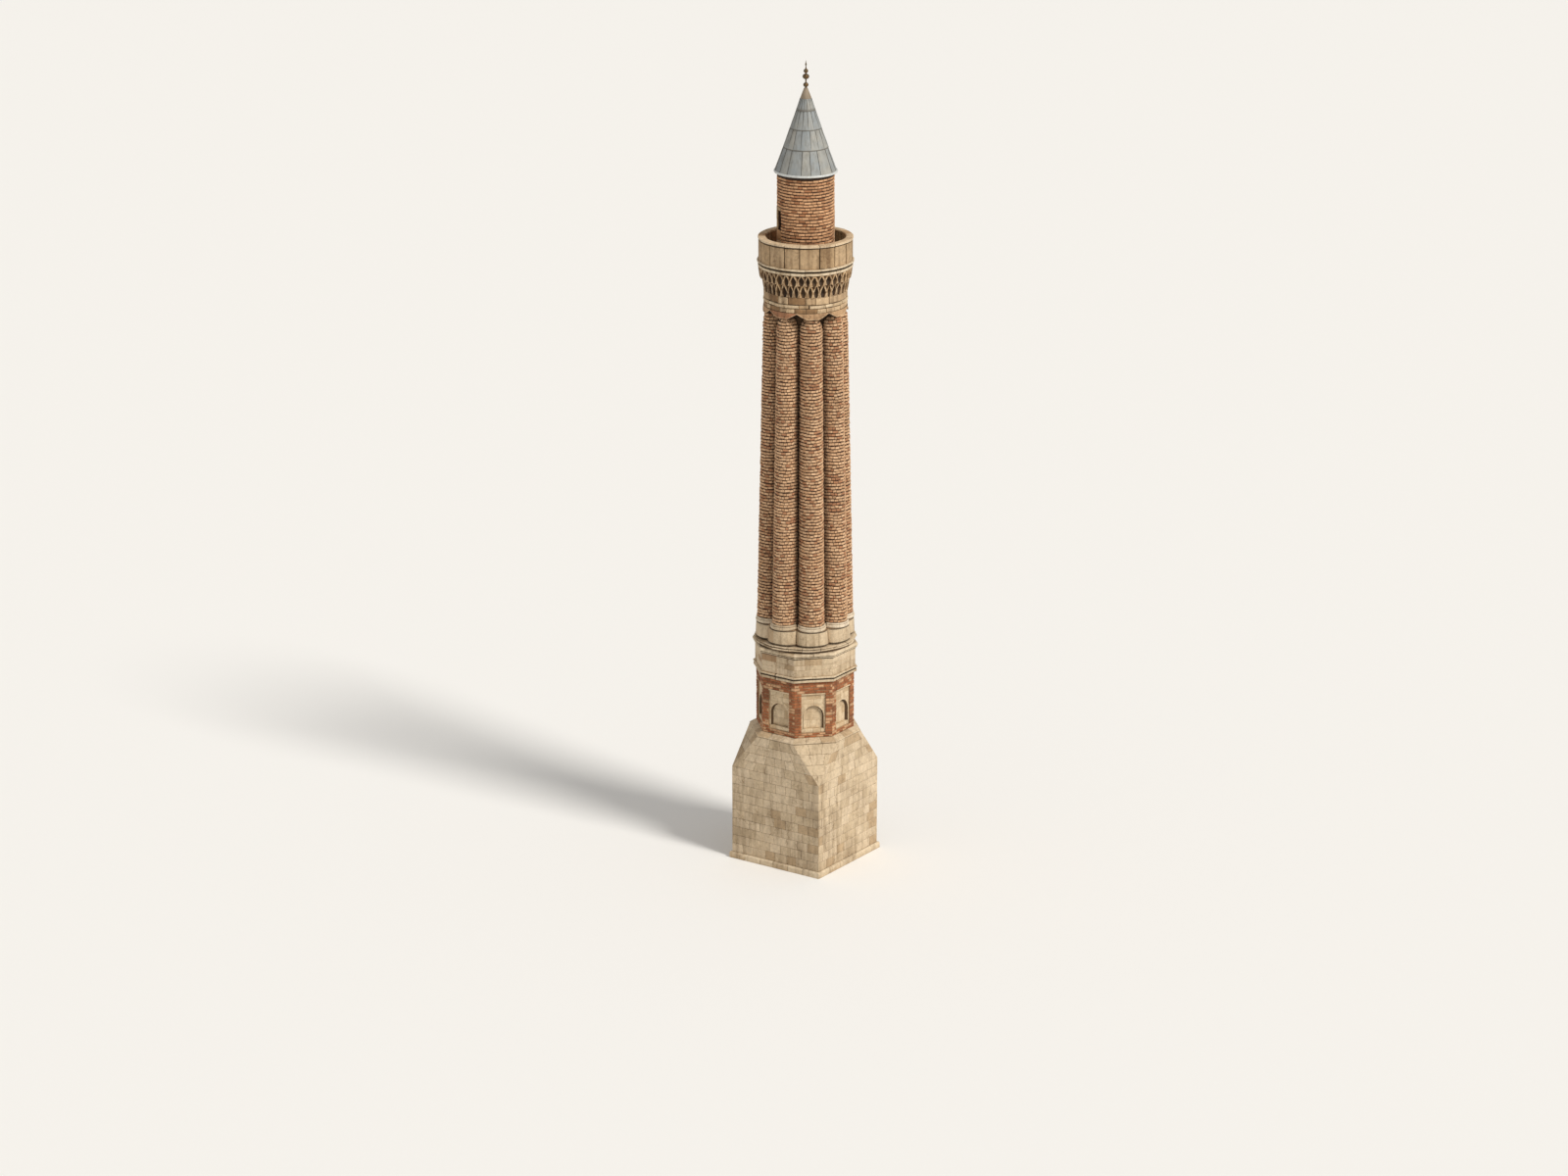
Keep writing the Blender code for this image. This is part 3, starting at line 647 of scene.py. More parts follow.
def carve(piece, *cutters):
    """Takes the shapes of some cutters out of a piece."""
    for cutter in cutters:
        cut = piece.modifiers.new(cutter.name, "BOOLEAN")
        cut.object, cut.operation, cut.solver = cutter, "DIFFERENCE", "EXACT"
    name = piece.name
    carved = evaluated(name + "_carved", piece)
    for cutter in cutters:
        bpy.data.objects.remove(cutter, do_unlink=True)
    return carved


def on_face(azimuth, distance, outline):
    """Points of an upright outline, as (across, height), on a wall that faces an azimuth."""
    plan = turned([(distance, across) for across, height in outline], azimuth)
    return [(x, y, height) for (x, y), (across, height) in zip(plan, outline)]


def outwards(name, outline, azimuth, finish):
    """A prism from the middle of the tower out along an azimuth, to cut an opening of this upright outline."""
    return loft(name, [on_face(azimuth, distance, outline) for distance in (0.0, 3.0)], finish)


def arch_outline(half, spring, crown, steps=14):
    """A pointed arch from its right foot over its crown to its left, as (across, height). It is round if it
    rises by half its width."""
    rise = crown - spring
    behind = (rise * rise - half * half) / (2 * half)
    sweep = math.atan2(rise, behind)
    right = [((half + behind) * math.cos(sweep * index / steps) - behind,
              spring + (half + behind) * math.sin(sweep * index / steps)) for index in range(steps)]
    return [*right, (0.0, crown), *[(-across, height) for across, height in reversed(right)]]


HALF_FACE = 22.5
MITRE = math.tan(math.radians(HALF_FACE))
BACK = 0.016


def base_outline(cut_share):
    """The base in plan with its corners cut by a share, and set back from its face."""
    shoulder = BASE + (BASE * MITRE - BASE) * cut_share - BACK
    corners = [point for side in SIDES for point in turned([(BASE - BACK, -shoulder), (BASE - BACK, shoulder)], side)]
    outline = []
    for index, (x, y) in enumerate(corners):
        after = corners[(index + 1) % 8]
        outline += [(x + (after[0] - x) * step / 3, y + (after[1] - y) * step / 3) for step in range(3)]
    return outline


ashlar_kinds = block_kinds("ashlar", plain_face(0.009), (0.33, 0.67), arris=0.009, chip=0.006, count=7)
OUTER = ENTRANCE + SURROUND
BASE_CORNER = BASE - 0.005
BASE_COURSES = 10
shoulder = BASE * MITRE
upright = [flat_stretch(side, BASE, -BASE_CORNER, BASE_CORNER, PLINTH_TOP, BROACH_START) for side in (0, 180, 270)]
broached = []
for side in SIDES:
    for foot, head in (([(BASE, -BASE_CORNER), (BASE, BASE_CORNER)], [(BASE, -shoulder), (BASE, shoulder)]),
                       ([(BASE, BASE - 0.02), (BASE - 0.02, BASE)], [(BASE, shoulder), (shoulder, BASE)])):
        broached.append((level(turned(foot, side), BROACH_START), level(turned(head, side), BASE_TOP)))
laid = [lay("base_courses", upright, ashlar_kinds, limestone, courses=BASE_COURSES, length=0.62, joint=0.01,
            depth=0.25, uneven=0.14, set_back=0.008, wobble=0.012, mitre=1.0, end_joint=0.0),
        lay("broach_courses", broached, ashlar_kinds, limestone, courses=4, length=0.58, joint=0.01, depth=0.22,
            uneven=0.12, set_back=0.008, mitre=0.5, end_joint=0.0, seed=3)]

course_height = (BROACH_START - PLINTH_TOP) / BASE_COURSES
beside = []
for course in range(BASE_COURSES):
    low = PLINTH_TOP + course * course_height
    heights = (low, low + course_height)
    edges = [math.sqrt(max(OUTER * OUTER - max(height - ENTRANCE_SPRING, 0.0) ** 2, 0.0)) for height in heights]
    edges[0] *= edges[1] > 0.0
    for sign in (-1, 1):
        beside.append([on_face(90, BASE, [(end, height) for end in sorted((sign * edge, sign * BASE_CORNER))])
                       for edge, height in zip(edges, heights)])
laid.append(lay("entrance_side_courses", beside, ashlar_kinds, limestone, length=0.62, joint=0.01, depth=0.25,
                set_back=0.008, mitre=0.5, end_joint=0.3, seed=5))
arches = [on_face(90, BASE + 0.02, arch_outline(half, ENTRANCE_SPRING, ENTRANCE_SPRING + half)[::-1])
          for half in (ENTRANCE, OUTER)]
jambs = [flat_stretch(90, BASE + 0.02, left, right, PLINTH_TOP, ENTRANCE_SPRING)
         for left, right in ((-OUTER, -ENTRANCE), (ENTRANCE, OUTER))]
laid.append(lay("entrance_jambs", jambs, ashlar_kinds, limestone, courses=4, length=0.5, joint=0.012, depth=0.34,
                stagger=0.0, uneven=0.0, end_joint=0.0))
laid.append(lay("entrance_arch", [arches], ashlar_kinds, limestone, length=0.21, joint=0.012, depth=0.34, stagger=0.0,
                uneven=0.0, end_joint=0.5))
passage = [[level(line, height) for height in (PLINTH_TOP, ENTRANCE_SPRING)] for line in (
    [(ENTRANCE, BASE - 0.3), (ENTRANCE, ENTRANCE_BACK)], [(-ENTRANCE, ENTRANCE_BACK), (-ENTRANCE, BASE - 0.3)])]
laid.append(lay("entrance_passage", passage, ashlar_kinds, limestone, courses=4, length=0.5, joint=0.012, depth=0.1))
bed = ring_bed("base_bed", [(base_outline(0.02), PLINTH_TOP), (base_outline(0.02), BROACH_START),
                            (base_outline(1.0), BASE_TOP)], sand_mortar)
opening = [(-ENTRANCE - 0.012, PLINTH_TOP - 0.1), (ENTRANCE + 0.012, PLINTH_TOP - 0.1),
           *arch_outline(ENTRANCE + 0.012, ENTRANCE_SPRING, ENTRANCE_SPRING + ENTRANCE + 0.012)]
bed = carve(bed, outwards("entrance_cutter", opening, 90, sand_mortar))
hand_over(join("base_ashlar", [*laid, bed]), "cut_stone", "base_wall_front", "base_wall_right", "base_wall_left",
          "base_pier_left", "base_pier_right", "base_wall_over_entrance")


# SLOPING LEDGE
# Weathering stones that throw the rain off the base: an upright lip, then a long slope up to the octagon.

LEDGE_TOP, OCTAGON = 6.50, 2.16


def octagon(middle):
    """An octagon with sides across the axes, and points along its sides as well as at its corners."""
    outline = []
    for index in range(24):
        degrees = 15 * (index + 0.5)
        from_middle = (degrees + HALF_FACE) % 45 - HALF_FACE
        outline.append(at(middle / math.cos(math.radians(from_middle)), degrees))
    return outline


def octagon_sides(middle, foot, head):
    """The stretches of an octagon's eight sides."""
    half = middle * MITRE
    return [flat_stretch(45 * side, middle, -half, half, foot, head) for side in range(8)]


ledge_section = ((0, 0, -0.012, 0, 1), (0, 0, 0, 0.012, 0), (0, 0, 0, 0.05, 1), (0, 0, -0.02, 0.064, 0),
                 (0, 1, OCTAGON - BASE + 0.02, -0.012, 0), (0, 1, OCTAGON - BASE, 0, 0), *BACK_FACE)
ledge = lay("ledge", octagon_sides(BASE, BASE_TOP, LEDGE_TOP),
            block_kinds("ledge_stone", ledge_section, (0.33, 0.67), arris=0.008, chip=0.006), limestone, length=0.68,
            joint=0.014, depth=0.5, stagger=0.0, uneven=0.12, set_back=0.006, mitre=MITRE, end_joint=0.4)
bed = ring_bed("ledge_bed", [(octagon(BASE - 0.03), BASE_TOP), (octagon(BASE - 0.05), BASE_TOP + 0.04),
                             (octagon(OCTAGON - 0.02), LEDGE_TOP - 0.006)], sand_mortar)
hand_over(join("ledge_stones", [ledge, bed]), "cut_stone", "base_ledge")


# OCTAGON
# Eight faces of brick: corner piers and a frieze of red bricks in pale mortar, and in each face a sunk
# panel of pale stone with a pointed blind niche, its thin arch ring and a stone fillet over the panel.

OCTAGON_TOP = 9.21
PANEL_HALF, PANEL_FOOT, PANEL_HEAD, PANEL_DEPTH = 0.57, 6.72, 8.65, 0.08
NICHE_HALF, NICHE_FOOT, NICHE_SPRING, NICHE_CROWN, NICHE_DEPTH = 0.495, 6.90, 7.50, 8.03, 0.22
RING_CROWN = 8.11
face_half = OCTAGON * MITRE
frieze_brick = masonry("frieze_brick", (176, 108, 66), (134, 80, 48), (204, 160, 120), dirt=(78, 50, 30),
                       arris=(184, 128, 88), grain_scale=1.6, pits=0.4, odd_share=0.3, dirt_amount=0.55,
                       roughness=0.9, bump=0.5)
pale_mortar = masonry("pale_mortar", (180, 150, 116), (168, 136, 102), (172, 140, 106), dirt=(110, 82, 56),
                      arris=(186, 152, 116), grain_scale=1.4, pits=0.8, dirt_amount=0.7, roughness=0.94, bump=0.8)
panel_stone = masonry("panel_stone", (220, 198, 164), (208, 184, 150), (196, 170, 134), dirt=(150, 122, 88),
                      arris=(222, 202, 170), grain_scale=0.6, dirt_amount=0.4, cracks=0.6)
# The niches' reveals: a stone painted dark as the shade inside each niche's arch and jambs.
reveal_stone = masonry("reveal_stone", (116, 92, 64), (104, 80, 54), (92, 70, 46), dirt=(58, 42, 28),
                       arris=(130, 104, 74), dirt_amount=0.6)
octagon_brick_kinds = block_kinds("octagon_brick", plain_face(0.006), chip=0.006, count=7)
# The fillet's foot is marked as a hollow, painted as the shade line under it.
fillet_section = ((0, 0, -0.03, 0, -1), (0, 0, 0, 0.014, 1), (0, 1, 0, -0.006, 1), (0, 1, -0.006, 0, 0), *BACK_FACE)
fillet_kinds = block_kinds("panel_fillet_stone", fillet_section)
piers, fields, rings, backs, sills, fillets, reveals = [], [], [], [], [], [], []
panel_face, niche_back = OCTAGON - PANEL_DEPTH, OCTAGON - NICHE_DEPTH
inner_arch = arch_outline(NICHE_HALF, NICHE_SPRING, NICHE_CROWN)[::-1]
outer_arch = arch_outline(PANEL_HALF, NICHE_SPRING, RING_CROWN)[::-1]


def arch_edge(height):
    """How far from the middle the outside of the niche's ring is, at a height."""
    if height >= RING_CROWN:
        return 0.0
    rise = RING_CROWN - NICHE_SPRING
    behind = (rise * rise - PANEL_HALF * PANEL_HALF) / (2 * PANEL_HALF)
    return math.sqrt((PANEL_HALF + behind) ** 2 - (height - NICHE_SPRING) ** 2) - behind


def niche_line(azimuth, distance, less):
    """The niche's outline at a distance from the middle of the tower, drawn in by some metres."""
    half, foot = NICHE_HALF - less, NICHE_FOOT - 0.02
    arch = arch_outline(half, NICHE_SPRING, NICHE_CROWN - less)
    return on_face(azimuth, distance, [(half, foot), *arch, (-half, foot)])


for side in range(8):
    azimuth = 45 * side
    reveals.append(loft("niche_reveal", [niche_line(azimuth, panel_face - 0.004, -0.004),
                                         niche_line(azimuth, niche_back - 0.012, 0.055),
                                         niche_line(azimuth, niche_back - 0.012, -0.004)], reveal_stone, closed=True))
    piers += [flat_stretch(azimuth, OCTAGON, PANEL_HALF, face_half, PANEL_FOOT, PANEL_HEAD),
              flat_stretch(azimuth, OCTAGON, -face_half, -PANEL_HALF, PANEL_FOOT, PANEL_HEAD)]
    backs.append(flat_stretch(azimuth, niche_back, -NICHE_HALF - 0.01, NICHE_HALF + 0.01, NICHE_FOOT,
                              NICHE_CROWN + 0.03))
    sills.append(flat_stretch(azimuth, panel_face, -PANEL_HALF, PANEL_HALF, PANEL_FOOT, NICHE_FOOT))
    fillets.append(flat_stretch(azimuth, OCTAGON + 0.008, -PANEL_HALF, PANEL_HALF, PANEL_HEAD - 0.06, PANEL_HEAD))
    for pair in ([[(-half, height) for height in (NICHE_FOOT, NICHE_SPRING)] for half in (NICHE_HALF, PANEL_HALF)],
                 (inner_arch, outer_arch),
                 [[(half, height) for height in (NICHE_SPRING, NICHE_FOOT)] for half in (NICHE_HALF, PANEL_HALF)]):
        rings.append([on_face(azimuth, panel_face + 0.012, line) for line in pair])
    step = (RING_CROWN - NICHE_SPRING) / 3
    for course in range(3):
        for sign in (-1, 1):
            fields.append([on_face(azimuth, panel_face, [
                (end, height) for end in sorted((sign * arch_edge(height), sign * (PANEL_HALF + 0.02)))])
                for height in (NICHE_SPRING + course * step, NICHE_SPRING + (course + 1) * step)])
    for low, high in ((RING_CROWN, 8.35), (8.35, PANEL_HEAD)):
        fields.append(flat_stretch(azimuth, panel_face, -PANEL_HALF, PANEL_HALF, low, high))
panel_kinds = block_kinds("panel_block", plain_face(0.006), (0.33, 0.67), chip=0.004, count=6)
stone = [lay("panel_field", fields, panel_kinds, panel_stone, length=0.52, joint=0.005, depth=0.12, uneven=0.2),
         lay("niche_back", backs, panel_kinds, panel_stone, courses=3, length=0.58, joint=0.005, depth=0.05,
             uneven=0.2, seed=4),
         lay("panel_sill", sills, panel_kinds, panel_stone, length=0.42, joint=0.01, depth=0.15),
         lay("niche_ring", rings, panel_kinds, panel_stone, length=0.3, joint=0.008, depth=0.15, stagger=0.0,
             uneven=0.08, seed=6),
         lay("panel_fillet", fillets, fillet_kinds, panel_stone, length=0.6, joint=0.004, depth=0.09, stagger=0.0,
             seed=7)]
pointing = dict(joint=0.034, head_joint=0.018, depth=0.07, uneven=0.2, set_back=0.016, lean=0.02, wobble=0.03,
                mitre=MITRE, end_joint=0.0)
bricks = [lay("octagon_piers", piers, octagon_brick_kinds, frieze_brick, courses=14, length=0.25, **pointing),
          lay("octagon_foot", octagon_sides(OCTAGON, LEDGE_TOP, PANEL_FOOT), octagon_brick_kinds, frieze_brick,
              courses=2, length=0.28, seed=2, **pointing),
          lay("octagon_frieze", octagon_sides(OCTAGON, PANEL_HEAD, OCTAGON_TOP), octagon_brick_kinds, frieze_brick,
              courses=4, length=0.3, seed=3, **pointing)]
RAKE = 0.03
raked, pier_back, pier_side = OCTAGON - RAKE, 1.86, PANEL_HALF + 0.004
beds = [upright_bed("octagon_core", octagon(niche_back - 0.02), LEDGE_TOP, OCTAGON_TOP, pale_mortar)]
for low, high in ((LEDGE_TOP, PANEL_FOOT), (PANEL_HEAD, OCTAGON_TOP)):
    beds.append(upright_bed("octagon_band_bed", octagon(raked), low, high, pale_mortar, niche_back - 0.1))
for side in range(8):
    plan = [(pier_back, pier_side), (raked, pier_side), (raked, raked * MITRE),
            *turned([(raked, -pier_side), (pier_back, -pier_side)], 45)]
    beds.append(loft("pier_bed", [level(turned(plan, 45 * side), height) for height in (PANEL_FOOT, PANEL_HEAD)],
                     pale_mortar))
hand_over(join("octagon_masonry", [*bricks, *stone, *reveals, *beds]), "brick", "octagon_wall_1", "octagon_wall_2",
          "octagon_wall_3", "octagon_wall_4")


# STRING COURSE, STONE BAND AND CORNICE
# Moulded limestone in long stones round the octagon, three courses of plain blocks, and a second moulding.

STRING_TOP, STONE_BAND_TOP, CORNICE_TOP = 9.50, 10.36, 10.65
STRING, STONE_BAND, CORNICE = 2.30, 2.21, 2.32
CRACK_FACE, CRACK, CRACK_WIDTH = 6, -0.11, 0.028


def cracked_sides(middle, foot, head):
    """The octagon's sides, with the one that has settled in two stretches, left and right of its open crack."""
    half = middle * MITRE
    sides = octagon_sides(middle, foot, head)
    sides[CRACK_FACE] = flat_stretch(45 * CRACK_FACE, middle, -half, CRACK - CRACK_WIDTH / 2, foot, head)
    return [*sides, flat_stretch(45 * CRACK_FACE, middle, CRACK + CRACK_WIDTH / 2, half, foot, head)]


# The foot and the groove of the moulding are marked as hollows, painted as their shade.
string_section = ((0, 0, -0.06, 0, -1), (0, 0, -0.034, 0.02, 0), (0, 0, -0.03, 0.118, 1), (0, 0, -0.045, 0.124, -1),
                  (0, 0, -0.11, 0.128, -1), (0, 0, -0.11, 0.196, -1), (0, 0, -0.008, 0.204, 1), (0, 0, 0, 0.214, 1),
                  (0, 1, 0, -0.028, 1), (0, 1, -0.012, -0.016, 1), (0, 1, -0.07, 0, 0), *BACK_FACE)
strings = lay("string_stones", cracked_sides(STRING, OCTAGON_TOP, STRING_TOP),
              block_kinds("string_stone", string_section, (0.33, 0.67), chip=0.008), limestone, length=0.95,
              joint=0.012, depth=0.3, stagger=0.0, set_back=0.01, lean=0.008, wobble=0.03, mitre=MITRE, end_joint=0.3)
bed = upright_bed("string_bed", octagon(STRING - 0.13), OCTAGON_TOP, STRING_TOP, sand_mortar)
hand_over(join("string_moulding", [strings, bed]), "cut_stone", "string_course")

rows = [STRING_TOP, 9.82, 10.05, STONE_BAND_TOP]
band = lay("band_stones", [side for low, high in zip(rows, rows[1:])
                           for side in cracked_sides(STONE_BAND, low, high)], ashlar_kinds, limestone, length=0.6,
           joint=0.007, depth=0.25, stagger=0.0, uneven=0.42, set_back=0.012, wobble=0.012, mitre=MITRE,
           end_joint=0.0, seed=11)
bed = upright_bed("band_bed", octagon(STONE_BAND - 0.012), STRING_TOP, STONE_BAND_TOP, pale_mortar)
hand_over(join("band_ashlar", [band, bed]), "cut_stone", "stone_band")

# The foot and the hollow of the moulding are marked as hollows, painted as their shade.
cornice_section = ((0, 0, -0.1, 0, -1), (0, 0, -0.09, 0.045, -1), (0, 0, -0.045, 0.052, 1), (0, 0, -0.045, 0.086, 1),
                   (0, 0, -0.075, 0.09, -1), (0, 0, -0.07, 0.124, -1), (0, 0, -0.006, 0.132, 1), (0, 0, 0, 0.14, 1),
                   (0, 1, 0, -0.07, 1), (0, 1, -0.01, -0.06, 1), (0, 1, -0.05, -0.005, 0), *BACK_FACE)
cornice = lay("cornice_stones", octagon_sides(CORNICE, STONE_BAND_TOP, CORNICE_TOP),
              block_kinds("cornice_stone", cornice_section, (0.33, 0.67), chip=0.008), limestone, length=0.95,
              joint=0.014, depth=0.3, stagger=0.0, uneven=0.12, set_back=0.012, wobble=0.02, mitre=MITRE,
              end_joint=0.5, seed=12)
bed = upright_bed("cornice_bed", octagon(CORNICE - 0.11), STONE_BAND_TOP, CORNICE_TOP - 0.03, sand_mortar)
hand_over(join("cornice_moulding", [cornice, bed]), "cut_stone", "octagon_cornice")


# ROUND LEDGE AND LOBED DRUM
# Where the octagon turns into the round: a ledge of two thin layers of long stones, worn and out of level,
# and on it a drum of smooth pale stones whose face already swells under each flute.

ROUND_LEDGE, ROUND_LEDGE_TOP = 2.42, 10.96
LOBED_DRUM, LOBED_DRUM_GROOVE, LOBED_DRUM_TOP = 2.30, 1.88, 11.65
DRUM_FOOT, DRUM_FOOT_GROOVE = 2.325, 2.01


def circle(radius, points=96):
    return [at(radius, 360 * index / points) for index in range(points)]


def round_wall(radius, foot, head, head_radius=None, start=0.0, points=96):
    """The stretch of a whole round wall, from a start azimuth on."""
    return [(level(arc(radius, start, start + 360, points), foot),
             level(arc(head_radius or radius, start, start + 360, points), head))]


def lobe_front(crown, groove, steps=32, narrow=1.0):
    """The half-round front of a lobe or flute, from groove to groove, or narrowed to leave the grooves free."""
    centre, half_width = at(groove, HALF_FACE)
    return [(centre + (crown - centre) * math.sin(math.pi * index / steps),
             -half_width * narrow * math.cos(math.pi * index / steps)) for index in range(steps + 1)]


def lobes(crown, groove, steps=16):
    """The outline of all eight lobes."""
    front = lobe_front(crown, groove, steps)[:-1]
    return [point for index in range(8) for point in turned(front, 45 * index)]


# The underside of each ledge stone is marked as a hollow, painted as the shade under it.
ledge_section = ((0, 0, -0.05, 0, -1), (0, 0, -0.008, 0.016, -0.3), (0, 0.55, 0, 0, 0), (0, 1, -0.02, -0.01, 1),
                 (0, 1, -0.06, 0, 0), (-1, 1, 0, 0, -1), (-1, 0, 0, 0, 0))
ledge_kinds = block_kinds("round_ledge_stone", ledge_section, (0.2, 0.4, 0.6, 0.8), arris=0.012, chip=0.01, count=7)
layers = []
for layer, (radius, low, high) in enumerate(((ROUND_LEDGE, 10.73, 10.805), (ROUND_LEDGE - 0.035, 10.82, 10.89))):
    line = [at(radius - 0.055 * (1 - abs(math.cos(math.radians(4 * azimuth)))), azimuth)
            for azimuth in range(0, 361, 3)]
    layers.append(lay(f"round_ledge_layer_{layer}", [(level(line, low), level(line, high))], ledge_kinds, limestone,
                      length=0.8, joint=0.006, head_joint=0.02, depth=0.4, stagger=0.0, uneven=0.2, set_back=0.05,
                      lean=0.03, wobble=0.04, closed=True, seed=21 + layer))
bed = ring_bed("round_ledge_bed", [(circle(radius), height) for radius, height in (
    (2.29, CORNICE_TOP), (2.29, 10.85), (1.98, 10.86), (1.98, ROUND_LEDGE_TOP))], sand_mortar)
hand_over(join("round_ledge_masonry", [*layers, bed]), "cut_stone", "round_ledge")

# The foot and head of each drum stone are marked as hollows, painted as the shade lines between the courses and on
# the ledge.
drum_section = ((0, 0, -0.022, 0, -1), (0, 0, -0.022, 0.04, -1), (0, 0, -0.004, 0.046, 1), (0, 0, 0, 0.06, 0),
                (0, 1, 0, -0.055, 0), (0, 1, -0.004, -0.042, 0.6), (0, 1, -0.022, -0.036, -1), (0, 1, -0.022, 0, -1),
                *BACK_FACE)
drum_kinds = block_kinds("drum_stone", drum_section, (0.14, 0.28, 0.42, 0.57, 0.71, 0.85), arris=0.008, chip=0.005)
drum_levels = ((DRUM_FOOT, DRUM_FOOT_GROOVE, ROUND_LEDGE_TOP), (LOBED_DRUM, LOBED_DRUM_GROOVE, LOBED_DRUM_TOP))
drum = lay("lobed_drum_stones", [tuple(level(turned(lobe_front(crown, groove), 45 * index), height)
                                       for crown, groove, height in drum_levels) for index in range(8)], drum_kinds,
           limestone, length=0.75, joint=0.008, depth=0.3, stagger=0.0, uneven=0.22, set_back=0.01, wobble=0.03,
           seed=22)
bed = ring_bed("lobed_drum_bed", [(lobes(crown - 0.04, groove - 0.05), height)
                                  for crown, groove, height in drum_levels], pale_mortar)
hand_over(join("lobed_drum_masonry", [drum, bed]), "cut_stone", "lobed_drum")


# ROLL MOULDING
# A very pale double roll, cut round the foot of every flute: a full torus, and a thin one above it.

SHAFT_FOOT, SHAFT_HEAD, GROOVE = 2.28, 1.975, 0.72
ROLL_TOP = 11.90
ROLL_PROUD = 0.055
white_stone = masonry("white_stone", (226, 209, 184), (208, 189, 161), (188, 167, 138), dirt=(136, 113, 86),
                      arris=(228, 213, 190), grain_scale=0.6, dirt_amount=0.45)
# The torus's foot and top are marked as hollows, painted as the shade lines below and above it.
torus = [(0, 0, -ROLL_PROUD * (1 - math.sin(math.pi * step / 8)) * 0.9, 0.085 - 0.075 * math.cos(math.pi * step / 8),
          -1 if step in (0, 8) else 0) for step in range(9)]
thin_torus = [(0, 0, -0.05 + 0.022 * math.sin(angle), 0.2 - 0.03 * math.cos(angle), 0)
              for angle in (math.pi * step / 4 for step in range(5))]
roll_section = ((0, 0, -0.06, 0, -1), *torus, *thin_torus, (0, 1, -0.055, 0, 0), *BACK_FACE)
crown, groove = SHAFT_FOOT + ROLL_PROUD, SHAFT_FOOT * GROOVE + ROLL_PROUD + 0.09
fronts = [turned(lobe_front(crown, groove), 45 * index) for index in range(8)]
roll = lay("roll_stones", [(level(front, LOBED_DRUM_TOP), level(front, ROLL_TOP)) for front in fronts],
           block_kinds("roll_stone", roll_section, (0.12, 0.25, 0.37, 0.5, 0.62, 0.75, 0.87), arris=0.005,
                       chip=0.004), white_stone, sharp=50, length=0.85, joint=0.01, depth=0.3, stagger=0.0,
           uneven=0.15, set_back=0.006, wobble=0.01, end_joint=0.0, seed=31)
bed = upright_bed("roll_bed", lobes(SHAFT_FOOT - 0.03, SHAFT_FOOT * GROOVE - 0.03), LOBED_DRUM_TOP, ROLL_TOP,
                  sand_mortar)
hand_over(join("roll_masonry", [roll, bed]), "cut_stone", "roll_moulding")


# FLUTES
# The shaft: eight tapering half-round flutes of fired brick, laid in deeply raked mortar round the stairwell,
# the mortar painted a dark red-brown that carries the shade of its deep joints. Bricks are cut to length
# where two flutes meet in a groove.

FLUTES_TOP = 26.42
brick_kinds = block_kinds("brick", plain_face(0.009), (), arris=0.008, chip=0.012, count=12)
# Fired brick, with painted shade in the grooves between the flutes.
fired_brick = masonry("fired_brick", (220, 181, 142), (196, 152, 112), (174, 122, 86), dirt=(84, 58, 36),
                      arris=(230, 196, 158), grain_scale=1.6, pits=0.4, odd_share=0.14, dirt_amount=0.2,
                      roughness=0.9, bump=0.5, groove_shade=0.7)
# A red-brown mortar, painted darker than its own colour to carry the shade inside the deeply raked joints.
red_mortar = masonry("red_mortar", (86, 56, 33), (80, 52, 31), (74, 48, 30), dirt=(54, 34, 21), arris=(96, 65, 41),
                     grain_scale=1.4, pits=0.8, dirt_amount=0.6, roughness=0.94, bump=0.8)
# A dark brown painted as the shade in the notches: the bed under the flute heads and the soffits of the hoods.
hollow_plaster = masonry("hollow_plaster", (104, 78, 48), (96, 70, 42), (88, 64, 40), dirt=(52, 36, 22),
                         arris=(110, 84, 54), grain_scale=1.2, pits=0.8, dirt_amount=0.9, roughness=0.94, bump=0.8)
RAKE = 0.045
COURSES = 98
COURSE = (FLUTES_TOP - ROLL_TOP) / COURSES
HEADS = ((0, 1.0, 0.0), (1, 0.96, 0.004), (2, 0.87, 0.015), (3, 0.72, 0.035), (4, 0.5, 0.075))
flute_pointing = dict(length=0.2, joint=0.056, head_joint=0.022, depth=0.075, uneven=0.22, set_back=0.03, lean=0.03)
well = arc(STAIRWELL, HALF_FACE, -HALF_FACE, 6)


def flute_front(height, narrow=1.0, less=0.0, back=0.0, steps=32):
    """The front of a flute at a height, narrowed and drawn in by some metres, or set back by some."""
    crown = SHAFT_FOOT + (SHAFT_HEAD - SHAFT_FOOT) * (height - ROLL_TOP) / (FLUTES_TOP - ROLL_TOP)
    return lobe_front(crown - less - back, crown * GROOVE - 1.9 * back, steps, narrow)


def flute_plan(height, narrow=1.0, less=0.0, steps=20):
    """The brickwork behind the face in plan: the front, out to the grooves at its sides, and the stairwell."""
    front = flute_front(height, 1.0, 0.0, RAKE, steps)
    return [front[0], *flute_front(height, narrow, less, RAKE, steps), front[-1]]


